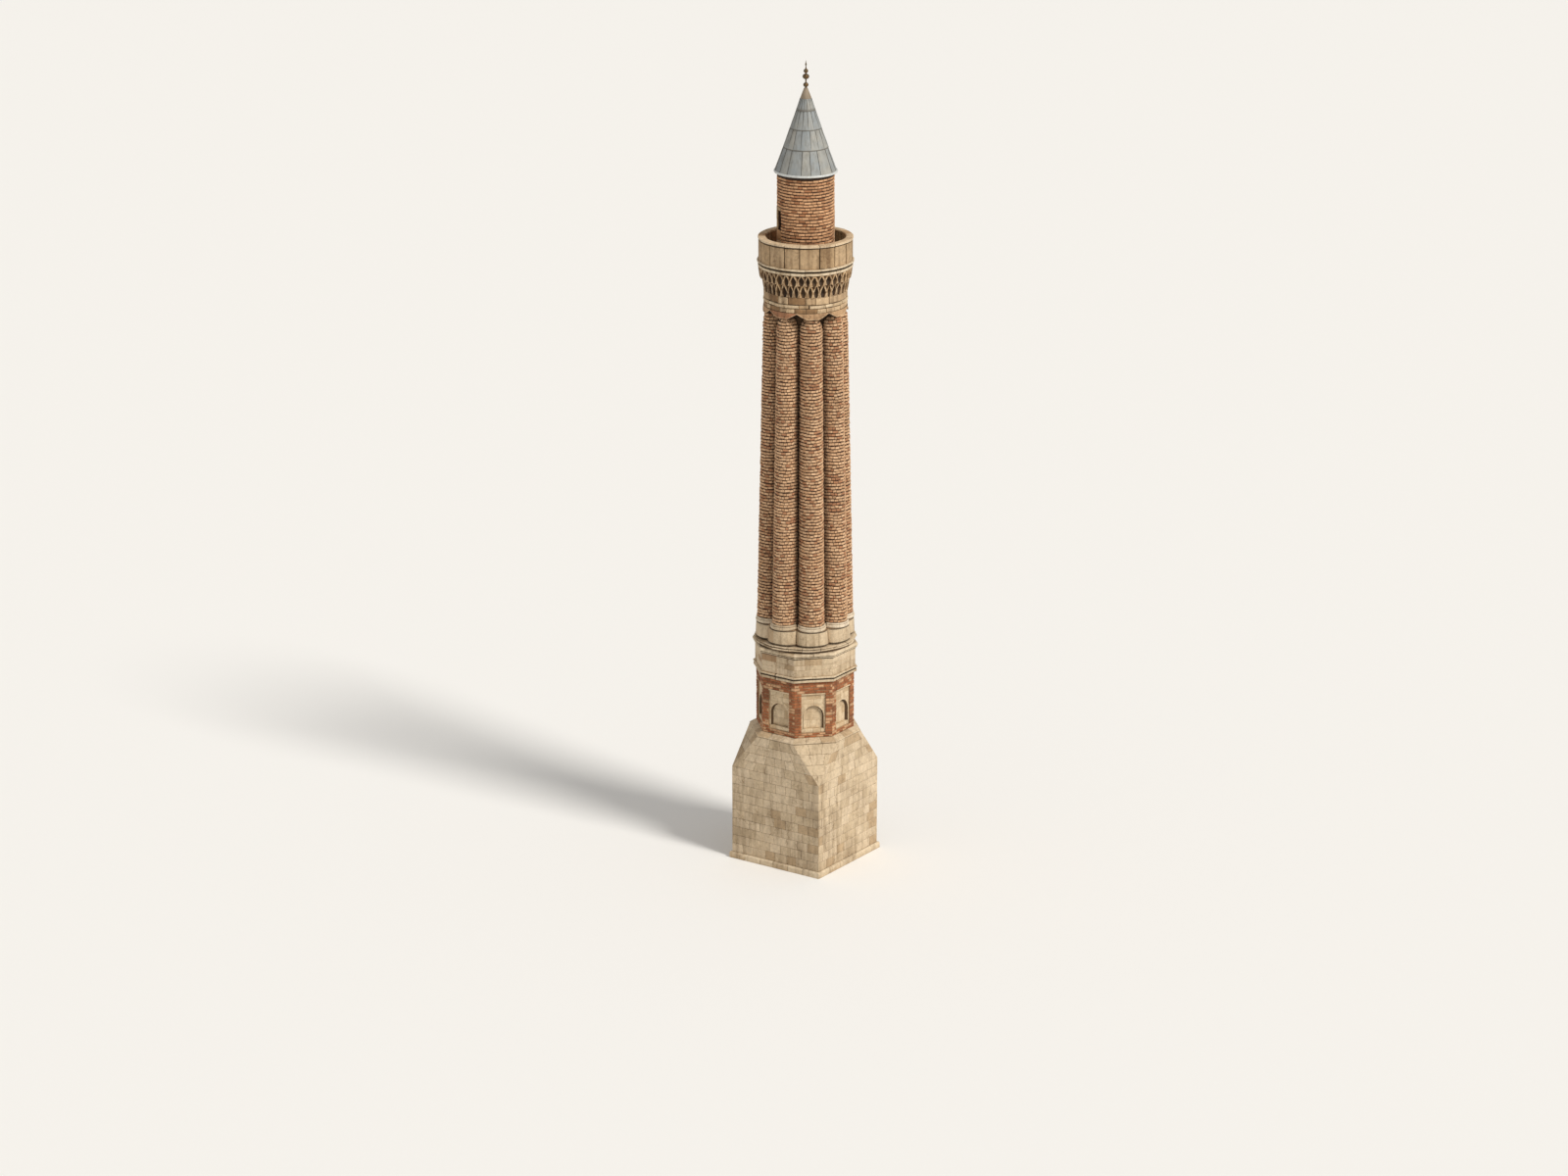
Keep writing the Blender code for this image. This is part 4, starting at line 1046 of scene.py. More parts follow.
for number in range(8):
    azimuth = 45.0 * number
    neck = FLUTES_TOP - 4 * COURSE
    bricks = [lay(f"flute_courses_{number + 1}",
                  [tuple(level(turned(flute_front(height), azimuth), height) for height in (ROLL_TOP, neck))],
                  brick_kinds, fired_brick, courses=COURSES - 4, wobble=0.12, seed=number, **flute_pointing)]
    lines = [level(turned(flute_front(neck + step * COURSE, narrow, less), azimuth), neck + step * COURSE)
             for step, narrow, less in HEADS]
    bricks.append(lay(f"flute_head_courses_{number + 1}", list(zip(lines, lines[1:])), brick_kinds, fired_brick,
                      seed=number + 9, **flute_pointing))
    beds = [loft("flute_bed", [level(turned(flute_plan(height) + well, azimuth), height)
                               for height in (ROLL_TOP, neck)], red_mortar),
            loft("flute_head_bed", [level(turned(flute_plan(neck + step * COURSE, narrow, less) + well, azimuth),
                                          neck + step * COURSE) for step, narrow, less in HEADS], hollow_plaster)]
    hand_over(join(f"flute_{number + 1}_brickwork", [*beds, *bricks]), "brick", f"flute_{number + 1}")


# HOODS
# Stones that carry the round collar over the fluted shaft. Each hangs down to the crown of a flute as a
# tooth, and its edge rises to a pointed notch over the groove, with a hollow soffit behind it, painted in shade.

HEADS_TOP, COLLAR = 26.73, 1.92
hood_stone = masonry("hood_stone", (196, 160, 120), (170, 132, 96), (178, 124, 90), dirt=(102, 74, 48),
                     arris=(216, 190, 154), grain_scale=0.9, odd_share=0.2, dirt_amount=0.7, arris_amount=0.6,
                     contrast=0.36, cracks=0.6)
HOOD_TONES = (0.2, 0.55, 0.3, 0.75, 0.12, 0.6, 0.0, 0.4)


def hood_edge(x, y):
    """Height of the hoods' edge: low over the crown of a flute, and rising to a notch over the groove."""
    from_crown = abs((math.degrees(math.atan2(y, x)) + HALF_FACE) % 45 - HALF_FACE)
    share = max(0.0, (from_crown - 8.0) / (HALF_FACE - 8.0))
    return FLUTES_TOP + 0.02 + 0.265 * share ** 1.15


HOOD_STEPS, SOFFIT_SHARE = 36, 0.55
hoods = []
for number in range(8):
    under = turned(flute_plan(FLUTES_TOP, *HEADS[-1][1:], steps=HOOD_STEPS - 2), 45 * number)
    azimuths = [45 * number - HALF_FACE + 0.15 + 44.7 * index / HOOD_STEPS for index in range(HOOD_STEPS + 1)]
    edge = [hood_edge(*at(1.0, azimuth)) for azimuth in azimuths]

    def rim(radius, lift, azimuths=azimuths, edge=edge):
        return [(*at(radius, azimuth), height + lift) for azimuth, height in zip(azimuths, edge)]

    soffit = [tuple(a + (b - a) * SOFFIT_SHARE for a, b in zip(low, high))
              for low, high in zip(level(under, FLUTES_TOP + 0.1), rim(COLLAR - 0.05, 0.03))]
    back = turned(lobe_front(STAIRWELL + 0.3, STAIRWELL, HOOD_STEPS), 45 * number)
    loops = [level(back, FLUTES_TOP), level(under, FLUTES_TOP), soffit, rim(COLLAR - 0.035, 0.0),
             rim(COLLAR + 0.03, 0.0), rim(COLLAR + 0.03, 0.045), rim(COLLAR, 0.06),
             [(*at(COLLAR, azimuth), HEADS_TOP) for azimuth in azimuths], level(back, HEADS_TOP)]
    hood = loft("hood", loops, hood_stone, closed=True, sharp=30)
    hood.data.materials.append(hollow_plaster)
    for face in hood.data.polygons:
        face.material_index = int(face.center.xy.length < COLLAR - 0.045)
    reaches = [point.co.xy.length for point in hood.data.vertices]
    # Painted shade: the soffit's points are marked as a hollow, and the arrises outside the collar as worn.
    mark(hood.data, tone=[HOOD_TONES[number]] * len(reaches),
         edge=[float((reach > COLLAR + 0.02) - (reach < COLLAR - 0.03)) for reach in reaches])
    hoods.append(hood)
hand_over(join("hood_stones", hoods), "cut_stone", "flute_hoods")


# COLLAR
# Two courses of limestone round the head of the shaft, with a thin pale band between them that stands
# out a little. One short piece of the band is missing.

BAND_FOOT, BAND_HEAD, COLLAR_TOP = 26.94, 27.13, 27.47
COLLAR_BAND = 1.94
BAND_GAP_AZIMUTH, BAND_GAP = -57.5, 15.0
collar_stone = masonry("collar_stone", (216, 188, 150), (188, 158, 121), (146, 112, 76), dirt=(98, 72, 46),
                       arris=(222, 196, 160), grain_scale=0.6, odd_share=0.32, dirt_amount=0.65, contrast=0.34,
                       cracks=0.6)
round_kinds = block_kinds("round_ashlar", plain_face(0.012), (0.25, 0.5, 0.75), arris=0.012, chip=0.014, count=7)
gap_start, gap_end = BAND_GAP_AZIMUTH - BAND_GAP / 2, BAND_GAP_AZIMUTH + BAND_GAP / 2


def band_stretch(radius, start, end, inset):
    line = arc(radius, start, end, 96)
    return [(level(line, BAND_FOOT + inset), level(line, BAND_HEAD - inset))]


worn = dict(depth=0.2, stagger=0.0, uneven=0.3, set_back=0.03, lean=0.02)
collar = [lay("collar_lower_course", round_wall(COLLAR, HEADS_TOP, BAND_FOOT), round_kinds, collar_stone, length=0.46,
              joint=0.022, wobble=0.03, closed=True, seed=41, **worn),
          lay("collar_band", band_stretch(COLLAR_BAND, gap_end, gap_start + 360, 0.03), round_kinds, panel_stone,
              length=0.62, joint=0.008, head_joint=0.03, wobble=0.04, seed=42, **worn),
          lay("collar_band_gap", band_stretch(COLLAR - 0.02, gap_start, gap_end - 1.6, 0.02), round_kinds,
              collar_stone, length=0.6, joint=0.012, seed=44, **worn),
          lay("collar_upper_course", round_wall(COLLAR, BAND_HEAD, COLLAR_TOP), round_kinds, collar_stone,
              length=0.62, joint=0.02, head_joint=0.032, wobble=0.03, closed=True, seed=46, **worn)]
bed = upright_bed("collar_bed", circle(COLLAR - 0.07), HEADS_TOP, COLLAR_TOP, sand_mortar)
hand_over(join("collar_masonry", [*collar, bed]), "cut_stone", "collar")


# STALACTITE CORBELS
# Two tiers of dark weathered stone that carry the balcony: pointed niches between thin ribs that fork over
# them, with sunk cells between the forks. Each niche is cut out of its own stone. Its ribs are painted light,
# as worn and lit, and the deep parts of its niche and cells are painted in shade.

LOWER_TIER_TOP, UPPER_TIER_TOP = 28.05, 28.53
LOWER_TIER, UPPER_TIER = 2.035, 2.175
LOWER_TIER_FOOT, UPPER_TIER_FOOT = 1.94, 2.11
RIBS, RIB_DEPTH = 40, 0.15
# The arris colour is the pale of the ribs, painted as worn and lit.
corbel_stone = masonry("corbel_stone", (134, 98, 58), (106, 72, 40), (158, 120, 76), dirt=(64, 42, 22),
                       arris=(242, 212, 170), grain_scale=1.2, pits=0.9, odd_share=0.25, dirt_amount=0.6,
                       arris_amount=1.0, bump=0.7)


def grid(rows, wide):
    """The faces between rows of as many points each."""
    return [(low, low + 1, low + 1 + wide, low + wide) for row in range(rows - 1)
            for low in range(row * wide, row * wide + wide - 1)]


def niche_kinds(name, depth, spring, count):
    """Corbel stones: a pointed niche in each, under a rib that forks over it, and a sunk cell over each fork.

    Depth is in metres, and the spring of the niche is a share of the stone's height. Ribs and niches are worn
    to a different shape from stone to stone."""
    kinds = bpy.data.collections.new(name)
    dice = random.Random(name)
    for number in range(count):
        rise = spring + dice.uniform(-0.09, 0.09)
        rows = [0.0, 0.12, 0.28, rise, rise + (0.96 - rise) * 0.4, rise + (0.96 - rise) * 0.75, 0.96, 1.0]
        points, insets, edges = [], [], []
        for row, share_up in enumerate(rows):
            climb = min(1.0, max(0.0, (share_up - rise) / (0.96 - rise)))
            half = 0.37 * (1 - 0.5 * max(0.0, 1 - row / 3) ** 1.3) * (1 - climb ** 1.3) + 0.015
            rib = min(0.49, half + 0.14 + dice.uniform(-0.04, 0.04))
            hollow = depth * (0.35 + 0.65 * min(1.0, share_up / rise))
            # Each spot's last number paints the rib light, as worn and lit, and, below 0, paints shade in the niche
            # and cells.
            left = [(-0.5, 0.8 * climb * depth, -1.0 if climb else 0.6), (-rib, 0.0, 1.0), (-half, 0.0, 1.0),
                    (-half * 0.9, 0.5 * hollow, -0.6), (-half * 0.5, 0.95 * hollow, -1.0)]
            for across, deep, lit in (*left, (0.0, hollow, -1.0), *[(-spot[0], *spot[1:]) for spot in left[::-1]]):
                points.append((across + 0.5, 0.0, share_up))
                insets.append((dice.uniform(-0.008, 0.008) * (abs(across) < 0.5), -deep - dice.uniform(0, 0.014),
                               dice.uniform(-0.014, 0.014) * (0 < row < len(rows) - 1)))
                edges.append(lit * (0.35 + 0.65 * dice.random()) if lit > 0 else lit)
        back = len(points)
        wide = back // len(rows)
        top = back - wide
        points += [(0, -1.0, 0), (1, -1.0, 0), (1, -1.0, 1), (0, -1.0, 1)]
        insets += [(0.0, 0.0, 0.0)] * 4
        edges += [0.0] * 4
        faces = [*grid(len(rows), wide), [*range(wide - 1, -1, -1), back, back + 1],
                 [*range(top, back), back + 2, back + 3], [*range(0, top + 1, wide), back + 3, back],
                 [*range(back - 1, 0, -wide), back + 1, back + 2], [back, back + 3, back + 2, back + 1]]
        add_kind(kinds, points, faces, insets, edges)
    return kinds


TURN = 5.6
for tier, foot, head, foot_radius, head_radius, start, seed in (
        ("lower", COLLAR_TOP, LOWER_TIER_TOP, LOWER_TIER_FOOT, LOWER_TIER, 0.0, 51),
        ("upper", LOWER_TIER_TOP, UPPER_TIER_TOP, UPPER_TIER_FOOT, UPPER_TIER, TURN, 52)):
    name = "corbel_niches_" + tier
    kinds = niche_kinds(name + "_kind", RIB_DEPTH, 0.45, 8)
    niches = lay(name, round_wall(foot_radius, foot, head, head_radius, start), kinds, corbel_stone, sharp=34,
                 length=math.pi * (foot_radius + head_radius) / RIBS, joint=0.012, head_joint=0.003, depth=0.24,
                 stagger=0.0, uneven=0.16, set_back=0.035, lean=0.03, wobble=0.05, closed=True, seed=seed)
    bed = ring_bed(name + "_bed", [(circle(foot_radius - 0.19), foot), (circle(head_radius - 0.19), head)],
                   corbel_stone)
    hand_over(join(name, [niches, bed]), "weathered_stone", "corbel_tier_" + tier)


# BALCONY SLAB
# Long curved stones with a plain face, a deep cove painted dark as its shade and a thin rounded edge over it,
# and the walkway's flagstones laid in rings on them, which also floor the room inside the drum.

BALCONY_TOP = 28.85
PLAIN_BAND, BALCONY = 2.18, 2.225
PARAPET, PARAPET_THICKNESS, PARAPET_TOP = 2.155, 0.30, 29.94
UPPER_DRUM, DOOR_AZIMUTH = 1.32, 58.0
BAND_BACK = PLAIN_BAND - BALCONY
# The cove and the foot of the plain face are marked as hollows, painted as their shade.
edge_section = ((0, 0, BAND_BACK - 0.02, 0, -1), (0, 0, BAND_BACK, 0.02, 1), (0, 0, BAND_BACK, 0.122, 1),
                (0, 0, BAND_BACK - 0.015, 0.128, -1), (0, 0, -0.13, 0.132, -1), (0, 0, -0.13, 0.22, -1),
                (0, 0, -0.012, 0.228, 1), (0, 0, 0, 0.24, 1), (0, 1, 0, -0.02, 1), (0, 1, -0.01, -0.008, 1),
                (0, 1, -0.03, 0, 0), *BACK_FACE)
edges = lay("balcony_edge_stones", round_wall(BALCONY, UPPER_TIER_TOP, BALCONY_TOP),
            block_kinds("balcony_edge_stone", edge_section, (0.2, 0.4, 0.6, 0.8), chip=0.01, count=7), limestone,
            length=0.75, joint=0.01, depth=0.4, stagger=0.0, uneven=0.2, set_back=0.02, lean=0.012, wobble=0.03,
            closed=True, seed=61)
walkway = PARAPET - PARAPET_THICKNESS
flags = lay("walkway_flags", round_wall(walkway + 0.02, BALCONY_TOP, BALCONY_TOP, UPPER_DRUM - 0.03), round_kinds,
            limestone, length=0.6, joint=0.012, depth=0.06, stagger=0.0, closed=True, seed=62)
room_flags = lay("room_flags", paving(STAIRWELL, STAIRWELL / 2, BALCONY_TOP, (-0.85, -0.425, 0.0, 0.425)), flag_kinds,
                 limestone, length=0.55, joint=0.012, depth=0.06, seed=63)
sill_lines = [on_face(DOOR_AZIMUTH, reach, [(-0.34, BALCONY_TOP + 0.004), (0.34, BALCONY_TOP + 0.004)])
              for reach in (UPPER_DRUM + 0.02, 0.80)]
sill = lay("doorway_sill", [sill_lines], flag_kinds, limestone, length=0.4, joint=0.01, depth=0.06, seed=64)
core = loft("slab_core", [level(circle(BALCONY - 0.18), height) for height in (UPPER_TIER_TOP, BALCONY_TOP - 0.02)],
            sand_mortar)
hand_over(join("balcony_floor", [edges, flags, room_flags, sill, core]), "cut_stone", "balcony_slab")


# PARAPET
# Thin upright slabs of limestone, each under a coping stone of its own length. Slabs are held edge to edge,
# some with a narrow upright margin cut beside the joint, and every joint is open, uneven and dark.

SLAB_JOINTS = (-126, -104, -82.5, -63, -38, -17.5, 4, 24, 44, 64, 84, 104, 124, 144, 164, 184, 203, 219)
COPING_HEIGHT, COPING_PROUD, CHAMFER = 0.105, 0.025, 0.03
SLAB_COLUMNS = (0.12, 0.25, 0.37, 0.5, 0.63, 0.75, 0.88)
# The arris colour is dark: it paints shade on the head of each slab under the coping, and darkens the slab ends.
parapet_stone = masonry("parapet_stone", (194, 166, 130), (174, 144, 106), (178, 134, 92), dirt=(104, 76, 46),
                        arris=(122, 96, 66), grain_scale=0.5, odd_share=0.25, dirt_amount=0.7, arris_amount=0.6,
                        contrast=0.4, cracks=0.6)
coping_stone = masonry("coping_stone", (214, 188, 154), (198, 170, 134), (180, 146, 108), dirt=(120, 94, 64),
                       arris=(238, 218, 188), grain_scale=0.6, odd_share=0.2, arris_amount=1.0)
coping_foot = PARAPET_TOP - COPING_HEIGHT
# The sunk line under the coping is marked as a hollow, painted as the coping's shadow line.
slab_section = ((0, 0, -0.008, 0, 1), (0, 0, 0, 0.008, 0), (0, 1, 0, -0.07, 0.6), (0, 1, -0.035, -0.055, -1),
                (0, 1, -0.035, 0, -1), (-1, 1, 0.035, 0, 0), (-1, 1, 0, -0.03, 0), (-1, 0, 0, 0, 0))
plain_slabs = block_kinds("parapet_slab", slab_section, SLAB_COLUMNS, arris=0.012, chip=0.006, count=6)
MARGIN_COLUMNS, MARGIN_SINK = ((), (2,), (), (8,), (2, 8), ()), 0.012
for kind, columns in zip(plain_slabs.objects, MARGIN_COLUMNS):
    inset = kind.data.attributes["inset"].data
    for column in columns:
        for point in range(column * len(slab_section), column * len(slab_section) + 5):
            inset[point].vector = (0.0, inset[point].vector.y - MARGIN_SINK, inset[point].vector.z)


def slab_stretches(radius, foot, head):
    """One stretch of the parapet from each joint to the next."""
    after = [*SLAB_JOINTS[1:], SLAB_JOINTS[0] + 360]
    return [(level(arc(radius, *ends, 12), foot), level(arc(radius, *ends, 12), head))
            for ends in zip(SLAB_JOINTS, after)]


slabs = lay("parapet_slabs", slab_stretches(PARAPET, BALCONY_TOP, coping_foot), plain_slabs, parapet_stone,
            length=2.0, joint=0.012, head_joint=0.042, depth=PARAPET_THICKNESS, stagger=0.0, set_back=0.03, lean=0.02,
            seed=71)
coping_section = ((0, 0, 0, 0, 1), (0, 1, 0, -CHAMFER, 0), (0, 1, -CHAMFER * 0.3, -CHAMFER * 0.3, 1),
                  (0, 1, -CHAMFER, 0, 0), (-1, 1, CHAMFER, 0, 0), (-1, 1, 0, -CHAMFER, 1), (-1, 0, 0, 0, 0))
copings = lay("parapet_copings", slab_stretches(PARAPET + COPING_PROUD, coping_foot, PARAPET_TOP),
              block_kinds("coping_stone", coping_section, SLAB_COLUMNS, arris=0.014, chip=0.012, count=7),
              coping_stone, length=2.0, joint=0.01, head_joint=0.034, depth=PARAPET_THICKNESS + 2 * COPING_PROUD,
              stagger=0.0, set_back=0.016, lean=0.016, seed=72)
middle = PARAPET - PARAPET_THICKNESS / 2
bed = upright_bed("parapet_bed", circle(middle + 0.06), BALCONY_TOP, PARAPET_TOP - 0.04, sand_mortar, middle - 0.06)
hand_over(join("parapet_masonry", [slabs, copings, bed]), "cut_stone",
          *[f"parapet_{number}" for number in range(1, 7)])


# UPPER DRUM
# The round brick room over the balcony, in the same bricks as the flutes, with its courses stopped against
# the stone frame of the doorway and the stone surround of the slit window.

UPPER_DRUM_TOP = 32.84
# Where the drum's brick courses stop under the eave: the dark boards above show as the eave's painted shadow.
EAVE_SHADOW = 0.075
DOOR_HALF, DOOR_HEAD, DOOR_FRAME = 0.35, 30.95, 0.14
SLIT_AZIMUTH, SURROUND_HALF, SURROUND_TOP = 238.0, 0.30, 31.36
SLIT_HALF, SLIT_FOOT, SLIT_HEAD = 0.17, 30.30, 31.20
frame_head = DOOR_HEAD + DOOR_FRAME
frame_angle = math.degrees(math.asin((DOOR_HALF + DOOR_FRAME) / UPPER_DRUM))
slit_left, slit_right = [math.degrees(math.asin(half / UPPER_DRUM)) for half in (SURROUND_HALF, SLIT_HALF)]


def drum_stretch(start, end, foot, head):
    line = arc(UPPER_DRUM, start, end, 48)
    return level(line, foot), level(line, head)


drum_brick = masonry("drum_brick", (222, 174, 130), (196, 144, 102), (166, 112, 74), dirt=(112, 74, 46),
                     arris=(230, 190, 148), grain_scale=1.6, pits=0.4, odd_share=0.18, dirt_amount=0.4, roughness=0.9,
                     bump=0.5)
sizes = dict(length=0.26, joint=0.056, head_joint=0.02, depth=0.075, uneven=0.2, set_back=0.02, lean=0.02,
             wobble=0.04)
drum = [lay("drum_courses", [drum_stretch(DOOR_AZIMUTH + frame_angle, SLIT_AZIMUTH - slit_left, BALCONY_TOP,
                                          SURROUND_TOP),
                             drum_stretch(SLIT_AZIMUTH + slit_right, DOOR_AZIMUTH - frame_angle + 360, BALCONY_TOP,
                                          SURROUND_TOP)], brick_kinds, drum_brick, courses=17, end_joint=0.5, seed=81,
            **sizes),
        lay("drum_over_door", [drum_stretch(DOOR_AZIMUTH - frame_angle, DOOR_AZIMUTH + frame_angle, frame_head,
                                            SURROUND_TOP)], brick_kinds, drum_brick, courses=2, seed=82, **sizes),
        lay("drum_head_courses", round_wall(UPPER_DRUM, SURROUND_TOP, UPPER_DRUM_TOP - EAVE_SHADOW), brick_kinds,
            drum_brick, courses=10, closed=True, seed=83, **sizes)]
bed = upright_bed("drum_bed", circle(UPPER_DRUM - RAKE), BALCONY_TOP, UPPER_DRUM_TOP, red_mortar)
cutters = [outwards(name, [(-half, foot), (half, foot), (half, head), (-half, head)], azimuth, red_mortar)
           for name, half, foot, head, azimuth in (
               ("door_cutter", DOOR_HALF + 0.02, BALCONY_TOP - 0.5, DOOR_HEAD + 0.02, DOOR_AZIMUTH),
               ("slit_cutter", SLIT_HALF, SLIT_FOOT, SLIT_HEAD, SLIT_AZIMUTH))]
bed = carve(bed, *cutters)
hand_over(join("upper_drum_brickwork", [*drum, bed]), "brick", "upper_drum_1", "upper_drum_2", "upper_drum_3",
          "upper_drum_over_door")


# UPPER DOORWAY AND SLIT WINDOW
# Stone dressings let into the drum: jambs and a lintel round the doorway to the balcony, and on the other
# side a tall narrow strip of stones beside a dark slit, with an apron below it and brick on its right.

frame_kinds = block_kinds("dressing", plain_face(0.008), arris=0.008, chip=0.005, count=5)
FRAME_FACE, FRAME_BACK, SURROUND_FACE = 1.232, 0.78, 1.315
door = [lay("door_jambs", [flat_stretch(DOOR_AZIMUTH, FRAME_FACE, left, right, BALCONY_TOP, DOOR_HEAD)
                           for left, right in ((-DOOR_HALF - DOOR_FRAME, -DOOR_HALF),
                                               (DOOR_HALF, DOOR_HALF + DOOR_FRAME))], frame_kinds, limestone,
            courses=4, length=0.5, joint=0.01, depth=FRAME_FACE - FRAME_BACK, stagger=0.0, uneven=0.0, end_joint=0.0,
            seed=91),
        lay("door_lintel", [flat_stretch(DOOR_AZIMUTH, FRAME_FACE + 0.012, -DOOR_HALF - DOOR_FRAME,
                                         DOOR_HALF + DOOR_FRAME, DOOR_HEAD, frame_head)], frame_kinds, limestone,
            length=2.0, joint=0.008, depth=FRAME_FACE + 0.012 - FRAME_BACK, end_joint=0.0, seed=92)]
hand_over(join("doorway_frame", door), "cut_stone", "upper_door_frame")

slit = []
for name, right, foot, head, courses in (("slit_apron", SLIT_HALF, BALCONY_TOP, SLIT_FOOT, 3),
                                         ("slit_jamb", -SLIT_HALF, SLIT_FOOT, SLIT_HEAD, 2),
                                         ("slit_lintel", SLIT_HALF, SLIT_HEAD, SURROUND_TOP, 1)):
    slit.append(lay(name, [flat_stretch(SLIT_AZIMUTH, SURROUND_FACE, -SURROUND_HALF, right, foot, head)], frame_kinds,
                    parapet_stone, courses=courses, length=1.0, joint=0.014, depth=SURROUND_FACE - FRAME_BACK,
                    stagger=0.0, uneven=0.0, set_back=0.012, end_joint=0.3, seed=93 + courses))
hand_over(join("slit_window_dressings", slit), "cut_stone", "slit_window")


# LEAD CONE
# Sheets of lead dressed over a boarded cone: four tiers that lap over each other, standing seams between
# the sheets, and a rolled lip at the eave with a hollow under it, its boards painted dark as the eave's shade.

ROOF_TOP, EAVE, ROOF_TIP = 36.30, 1.455, 0.235
EAVE_HEAD = 32.99
LAPS = (34.07, 34.94, 35.77)
SHEETS, WIDE = 16, 7


def sheet_lead(name, sheet, pale, dark, roughness=0.66):
    """Sheet lead: a dull skin of oxide in pale and dark patches, dressed by hand, brighter where it is rubbed, and
    dark where the edge attribute is set: along the seams, and as painted shade at each lapped sheet's lower rim.
    """
    material, tree, place = new_material(name)
    sheet, pale, dark = [paint(*colour) for colour in (sheet, pale, dark)]
    clouds, fine = place.noise(2.2, 5.0, 0.6), place.noise(60.0, 3.0)
    streaks = place.aim("MULTIPLY", (9.0, 9.0, 0.4)).noise(1.0, 4.0)
    tone, edge = [wire(tree, "ShaderNodeAttribute", output="Fac", attribute_name=key) for key in ("tone", "edge")]
    colour = (clouds * 0.6 + tone * 0.3).span(0.3, 0.62).mix(sheet, pale)
    colour = streaks.span(0.44, 0.8, 0.0, 0.5).mix(colour, dark)
    tree.nodes["Principled BSDF"].inputs["Metallic"].default_value = 0.1
    return dress(material, 0.5, 0.02, clouds + fine * 0.2, Base_Color=(edge * 0.8).mix(colour, dark),
                 Roughness=fine.span(0.3, 0.7, roughness - 0.08, roughness + 0.12))


grey_lead = sheet_lead("grey_lead", (146, 151, 152), (164, 162, 154), (98, 92, 82))
sleeve_lead = sheet_lead("sleeve_lead", (150, 134, 114), (168, 154, 136), (92, 74, 54))
seam_lead = sheet_lead("seam_lead", (112, 112, 108), (128, 126, 118), (78, 74, 68))
# The rolled lip painted near white: a painted highlight along the roll.
lip_lead = sheet_lead("lip_lead", (206, 208, 206), (222, 222, 216), (150, 148, 140), roughness=0.5)
# Boards painted dark as the shade under the eave and its lip.
eave_board = masonry("eave_board", (70, 50, 32), (62, 44, 28), (54, 38, 24), dirt=(34, 24, 16), arris=(84, 62, 42),
                     grain_scale=1.2, pits=0.3, dirt_amount=0.6, roughness=0.9)


def cone_radius(height):
    """The cone's radius at a height. Its sides hang in a little, as lead on boards does."""
    share = (height - EAVE_HEAD) / (ROOF_TOP - EAVE_HEAD)
    sag = 0.02 * math.sin(math.pi * min(max(share, 0.0), 1.0)) ** 0.7
    return EAVE - 0.065 + (ROOF_TIP - EAVE + 0.065) * share - sag


dice = random.Random("sheets")
tiers = [EAVE_HEAD - 0.01, *LAPS, ROOF_TOP]
RISES = (0.0, 0.03, 0.055, 0.25, 0.5, 0.75, 1.0)
sheets, lines = [], []
for tier, (low, high) in enumerate(zip(tiers, tiers[1:])):
    turn = dice.uniform(-3.0, 3.0)
    joints = [turn + 360 / SHEETS * (sheet + dice.uniform(-0.2, 0.2)) for sheet in range(SHEETS)]
    low -= 0.03 * (tier > 0)
    for start, end in zip(joints, [*joints[1:], joints[0] + 360]):
        lines.append([(*at(cone_radius(height) + 0.012, start), height)
                      for height in (low + 0.02, (low + high) / 2, high - 0.03)])
        points, faces = [], []
        for depth in (0.0, -0.03):
            for rise in RISES:
                height = low + (high - low) * rise
                lift = (0.024 if tier else 0.006) * (1 - rise) + 0.002
                for place in range(WIDE):
                    share = place / (WIDE - 1)
                    belly = 0.010 * math.sin(math.pi * share) * math.sin(math.pi * rise) * dice.uniform(0.4, 1.4)
                    radius = cone_radius(height) + lift + belly * (depth == 0) + depth
                    points.append((*at(radius, start + (end - start) * share), height))
        count = len(RISES) * WIDE
        for quad in grid(len(RISES), WIDE):
            faces += [quad, [index + count for index in reversed(quad)]]
        around = [*range(WIDE), *range(2 * WIDE - 1, count, WIDE), *range(count - 2, count - WIDE - 1, -1),
                  *range(count - 2 * WIDE, 0, -WIDE)]
        faces += [(index, index + count, after + count, after)
                  for index, after in zip(around, around[1:] + around[:1])]
        piece = solid("lead_sheet", points, faces, grey_lead)
        heights = [point.co.z for point in piece.data.vertices]
        # Painted shade: the lower rim of each sheet above the first tier is marked, to be darkened as the shadow of
        # its lap.
        mark(piece.data, tone=[dice.random()] * len(heights),
             edge=[float(tier > 0 and height < low + 0.035) for height in heights])
        sheets.append(piece)


def seams_tree():
    """Runs a rounded seam along each spline of an object's curves."""
    tree = bpy.data.node_groups.new("standing_seams", "GeometryNodeTree")
    host, drawn, width, finish = take(tree, Host="Geometry", Lines="Object", Width=0.03, Finish="Material")
    lines = wire(tree, "GeometryNodeObjectInfo", {"Object": drawn}, "Geometry")
    section = wire(tree, "GeometryNodeCurvePrimitiveCircle", {"Resolution": 8, "Radius": width * 0.5})
    seams = wire(tree, "GeometryNodeCurveToMesh", {"Curve": lines, "Profile Curve": section, "Fill Caps": True})
    seams = wire(tree, "GeometryNodeStoreNamedAttribute", {"Geometry": seams, "Name": "edge", "Value": 0.7},
                 data_type="FLOAT", domain="POINT")
    seams = wire(tree, "GeometryNodeRealizeInstances", [seams])
    return give(tree, Seams=wire(tree, "GeometryNodeSetMaterial", {"Geometry": seams, "Material": finish}))


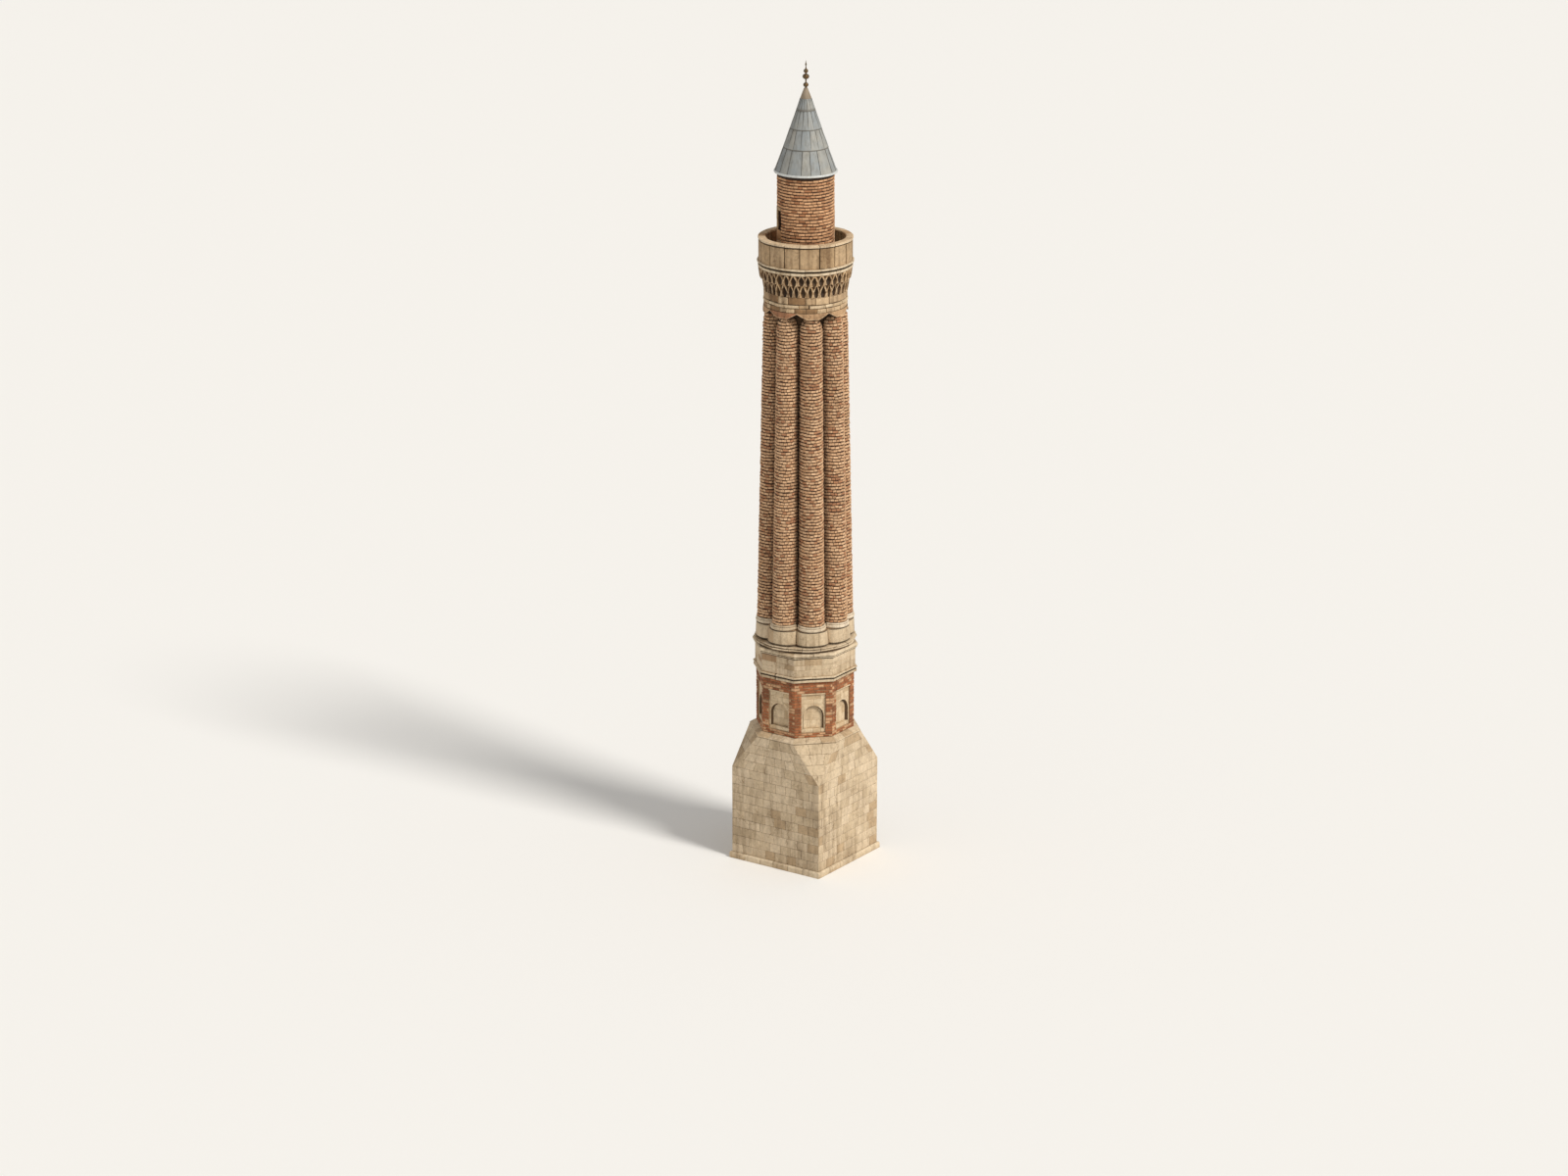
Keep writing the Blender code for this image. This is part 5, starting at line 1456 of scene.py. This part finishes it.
seams = along_lines("cone_seams", seams_tree(), lines, width=0.026, finish=seam_lead)
cone = loft("cone_boards", [level(circle(radius, 48), height) for radius, height in (
    (UPPER_DRUM - 0.30, UPPER_DRUM_TOP + 0.002), (UPPER_DRUM - 0.04, UPPER_DRUM_TOP + 0.002),
    (UPPER_DRUM - 0.04, UPPER_DRUM_TOP - EAVE_SHADOW), (UPPER_DRUM - 0.035, UPPER_DRUM_TOP - EAVE_SHADOW),
    (UPPER_DRUM - 0.035, UPPER_DRUM_TOP + 0.004), (EAVE - 0.04, EAVE_HEAD - 0.08),
    (EAVE - 0.11, EAVE_HEAD - 0.03), (cone_radius(33.6) - 0.03, 33.6), (cone_radius(34.6) - 0.03, 34.6),
    (cone_radius(35.6) - 0.03, 35.6), (ROOF_TIP - 0.02, ROOF_TOP - 0.002))], eave_board)
lip = loft("eave_lip", [level(circle(EAVE - 0.046 + 0.046 * math.cos(angle)),
                              EAVE_HEAD - 0.046 + 0.054 * math.sin(angle))
                        for angle in (2 * math.pi * step / 12 for step in range(12))], lip_lead, closed=True,
           sharp=60)
hand_over(join("lead_roof", [*sheets, seams, cone, lip]), "sheet_lead", "lead_cone")


# FINIAL
# Bulbs of beaten bronze on one rod, over a sleeve of lead that caps the cone, and a spike with a slight swell.

FINIAL_TOP, SLEEVE_TOP, SLEEVE_HEAD = 38.0, 36.76, 0.085
BULBS = ((36.88, 0.122, 0.11), (37.26, 0.154, 0.13), (37.51, 0.107, 0.10), (37.81, 0.040, 0.07))
NECK = 0.034


def aged_bronze():
    """Bronze gone brown, with green in its hollows and rubbed metal on its swells."""
    material, tree, place = new_material("aged_bronze")
    clouds = place.noise(9.0, 6.0, 0.65)
    patina = clouds.span(0.46, 0.62, 0.0, 0.85)
    return dress(material, 0.4, 0.006, clouds, Base_Color=patina.mix(paint(112, 84, 54), paint(78, 84, 66)),
                 Metallic=patina.span(0.0, 1.0, 0.9, 0.2), Roughness=clouds.span(0.3, 0.7, 0.38, 0.75))


bronze = aged_bronze()
sleeve = [(ROOF_TIP + 0.012, ROOF_TOP - 0.03), (ROOF_TIP + 0.018, ROOF_TOP), (SLEEVE_HEAD + 0.03, SLEEVE_TOP - 0.1),
          (SLEEVE_HEAD + 0.012, SLEEVE_TOP - 0.06), (SLEEVE_HEAD + 0.012, SLEEVE_TOP - 0.04),
          (SLEEVE_HEAD - 0.01, SLEEVE_TOP - 0.02)]
profile = [(SLEEVE_HEAD - 0.02, SLEEVE_TOP - 0.04)]
for middle, radius, half_height in BULBS:
    for step in range(9):
        share = step / 4 - 1
        height = middle + half_height * share
        if height > SLEEVE_TOP - 0.01:
            profile.append((max(NECK * min(1.0, radius / 0.08), radius * math.sqrt(max(0.0, 1 - share * share))),
                            height))
profile += [(0.016, 37.90), (0.014, 37.94), (0.004, FINIAL_TOP)]
rod, cap = [loft(name, [level(circle(radius, 28), height) for radius, height in shape], finish, sharp=45)
            for name, shape, finish in (("finial_rod", profile, bronze), ("finial_sleeve", sleeve, sleeve_lead))]
hand_over(join("finial_metal", [rod, cap]), "bronze", "finial")


# STAGE
# A plain pale floor, soft studio light with the key on the right, and the camera where the photographer stood.

bpy.ops.mesh.primitive_plane_add(size=1600)
floor = bpy.context.active_object
floor.name = "studio_floor"
pale = bpy.data.materials.new("studio_pale")
pale.use_nodes = True
pale.node_tree.nodes["Principled BSDF"].inputs["Base Color"].default_value = (0.90, 0.89, 0.87, 1.0)
pale.node_tree.nodes["Principled BSDF"].inputs["Roughness"].default_value = 0.95
floor.data.materials.append(pale)
floor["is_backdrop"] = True

world = bpy.data.worlds.new("studio")
bpy.context.scene.world = world
world.use_nodes = True
world.node_tree.nodes["Background"].inputs["Color"].default_value = (1.0, 0.985, 0.96, 1.0)
world.node_tree.nodes["Background"].inputs["Strength"].default_value = 0.48

CAMERA_AZIMUTH, CAMERA_DISTANCE, CAMERA_HEIGHT, CAMERA_PITCH, CAMERA_ASIDE = 34.5, 216.72, 82.69, 17.8, 0.26


def from_side(azimuth, distance, height):
    """A place round the tower, by the azimuth that it is seen from."""
    angle = math.radians(azimuth)
    return Vector((math.sin(angle) * distance, -math.cos(angle) * distance, height))


sun = bpy.data.lights.new("key", "SUN")
sun.energy = 2.5
sun.angle = math.radians(14)
sun.color = (1.0, 0.97, 0.92)
key = show("key", sun)
key.rotation_euler = from_side(CAMERA_AZIMUTH + 50, 1.0, 0.95).to_track_quat("Z", "Y").to_euler()

lens = bpy.data.cameras.new("camera")
lens.lens, lens.sensor_width, lens.clip_end = 112.5, 36.0, 3000.0
camera = show("camera", lens)
camera.location = from_side(CAMERA_AZIMUTH, CAMERA_DISTANCE, CAMERA_HEIGHT)
camera.rotation_euler = (math.radians(90 - CAMERA_PITCH), 0.0, math.radians(CAMERA_AZIMUTH + CAMERA_ASIDE))
bpy.context.scene.camera = camera
bpy.context.scene.view_settings.view_transform = "Standard"

low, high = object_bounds()
{"cad": [list(cad_low), list(cad_high)], "visual": [list(low), list(high)]}
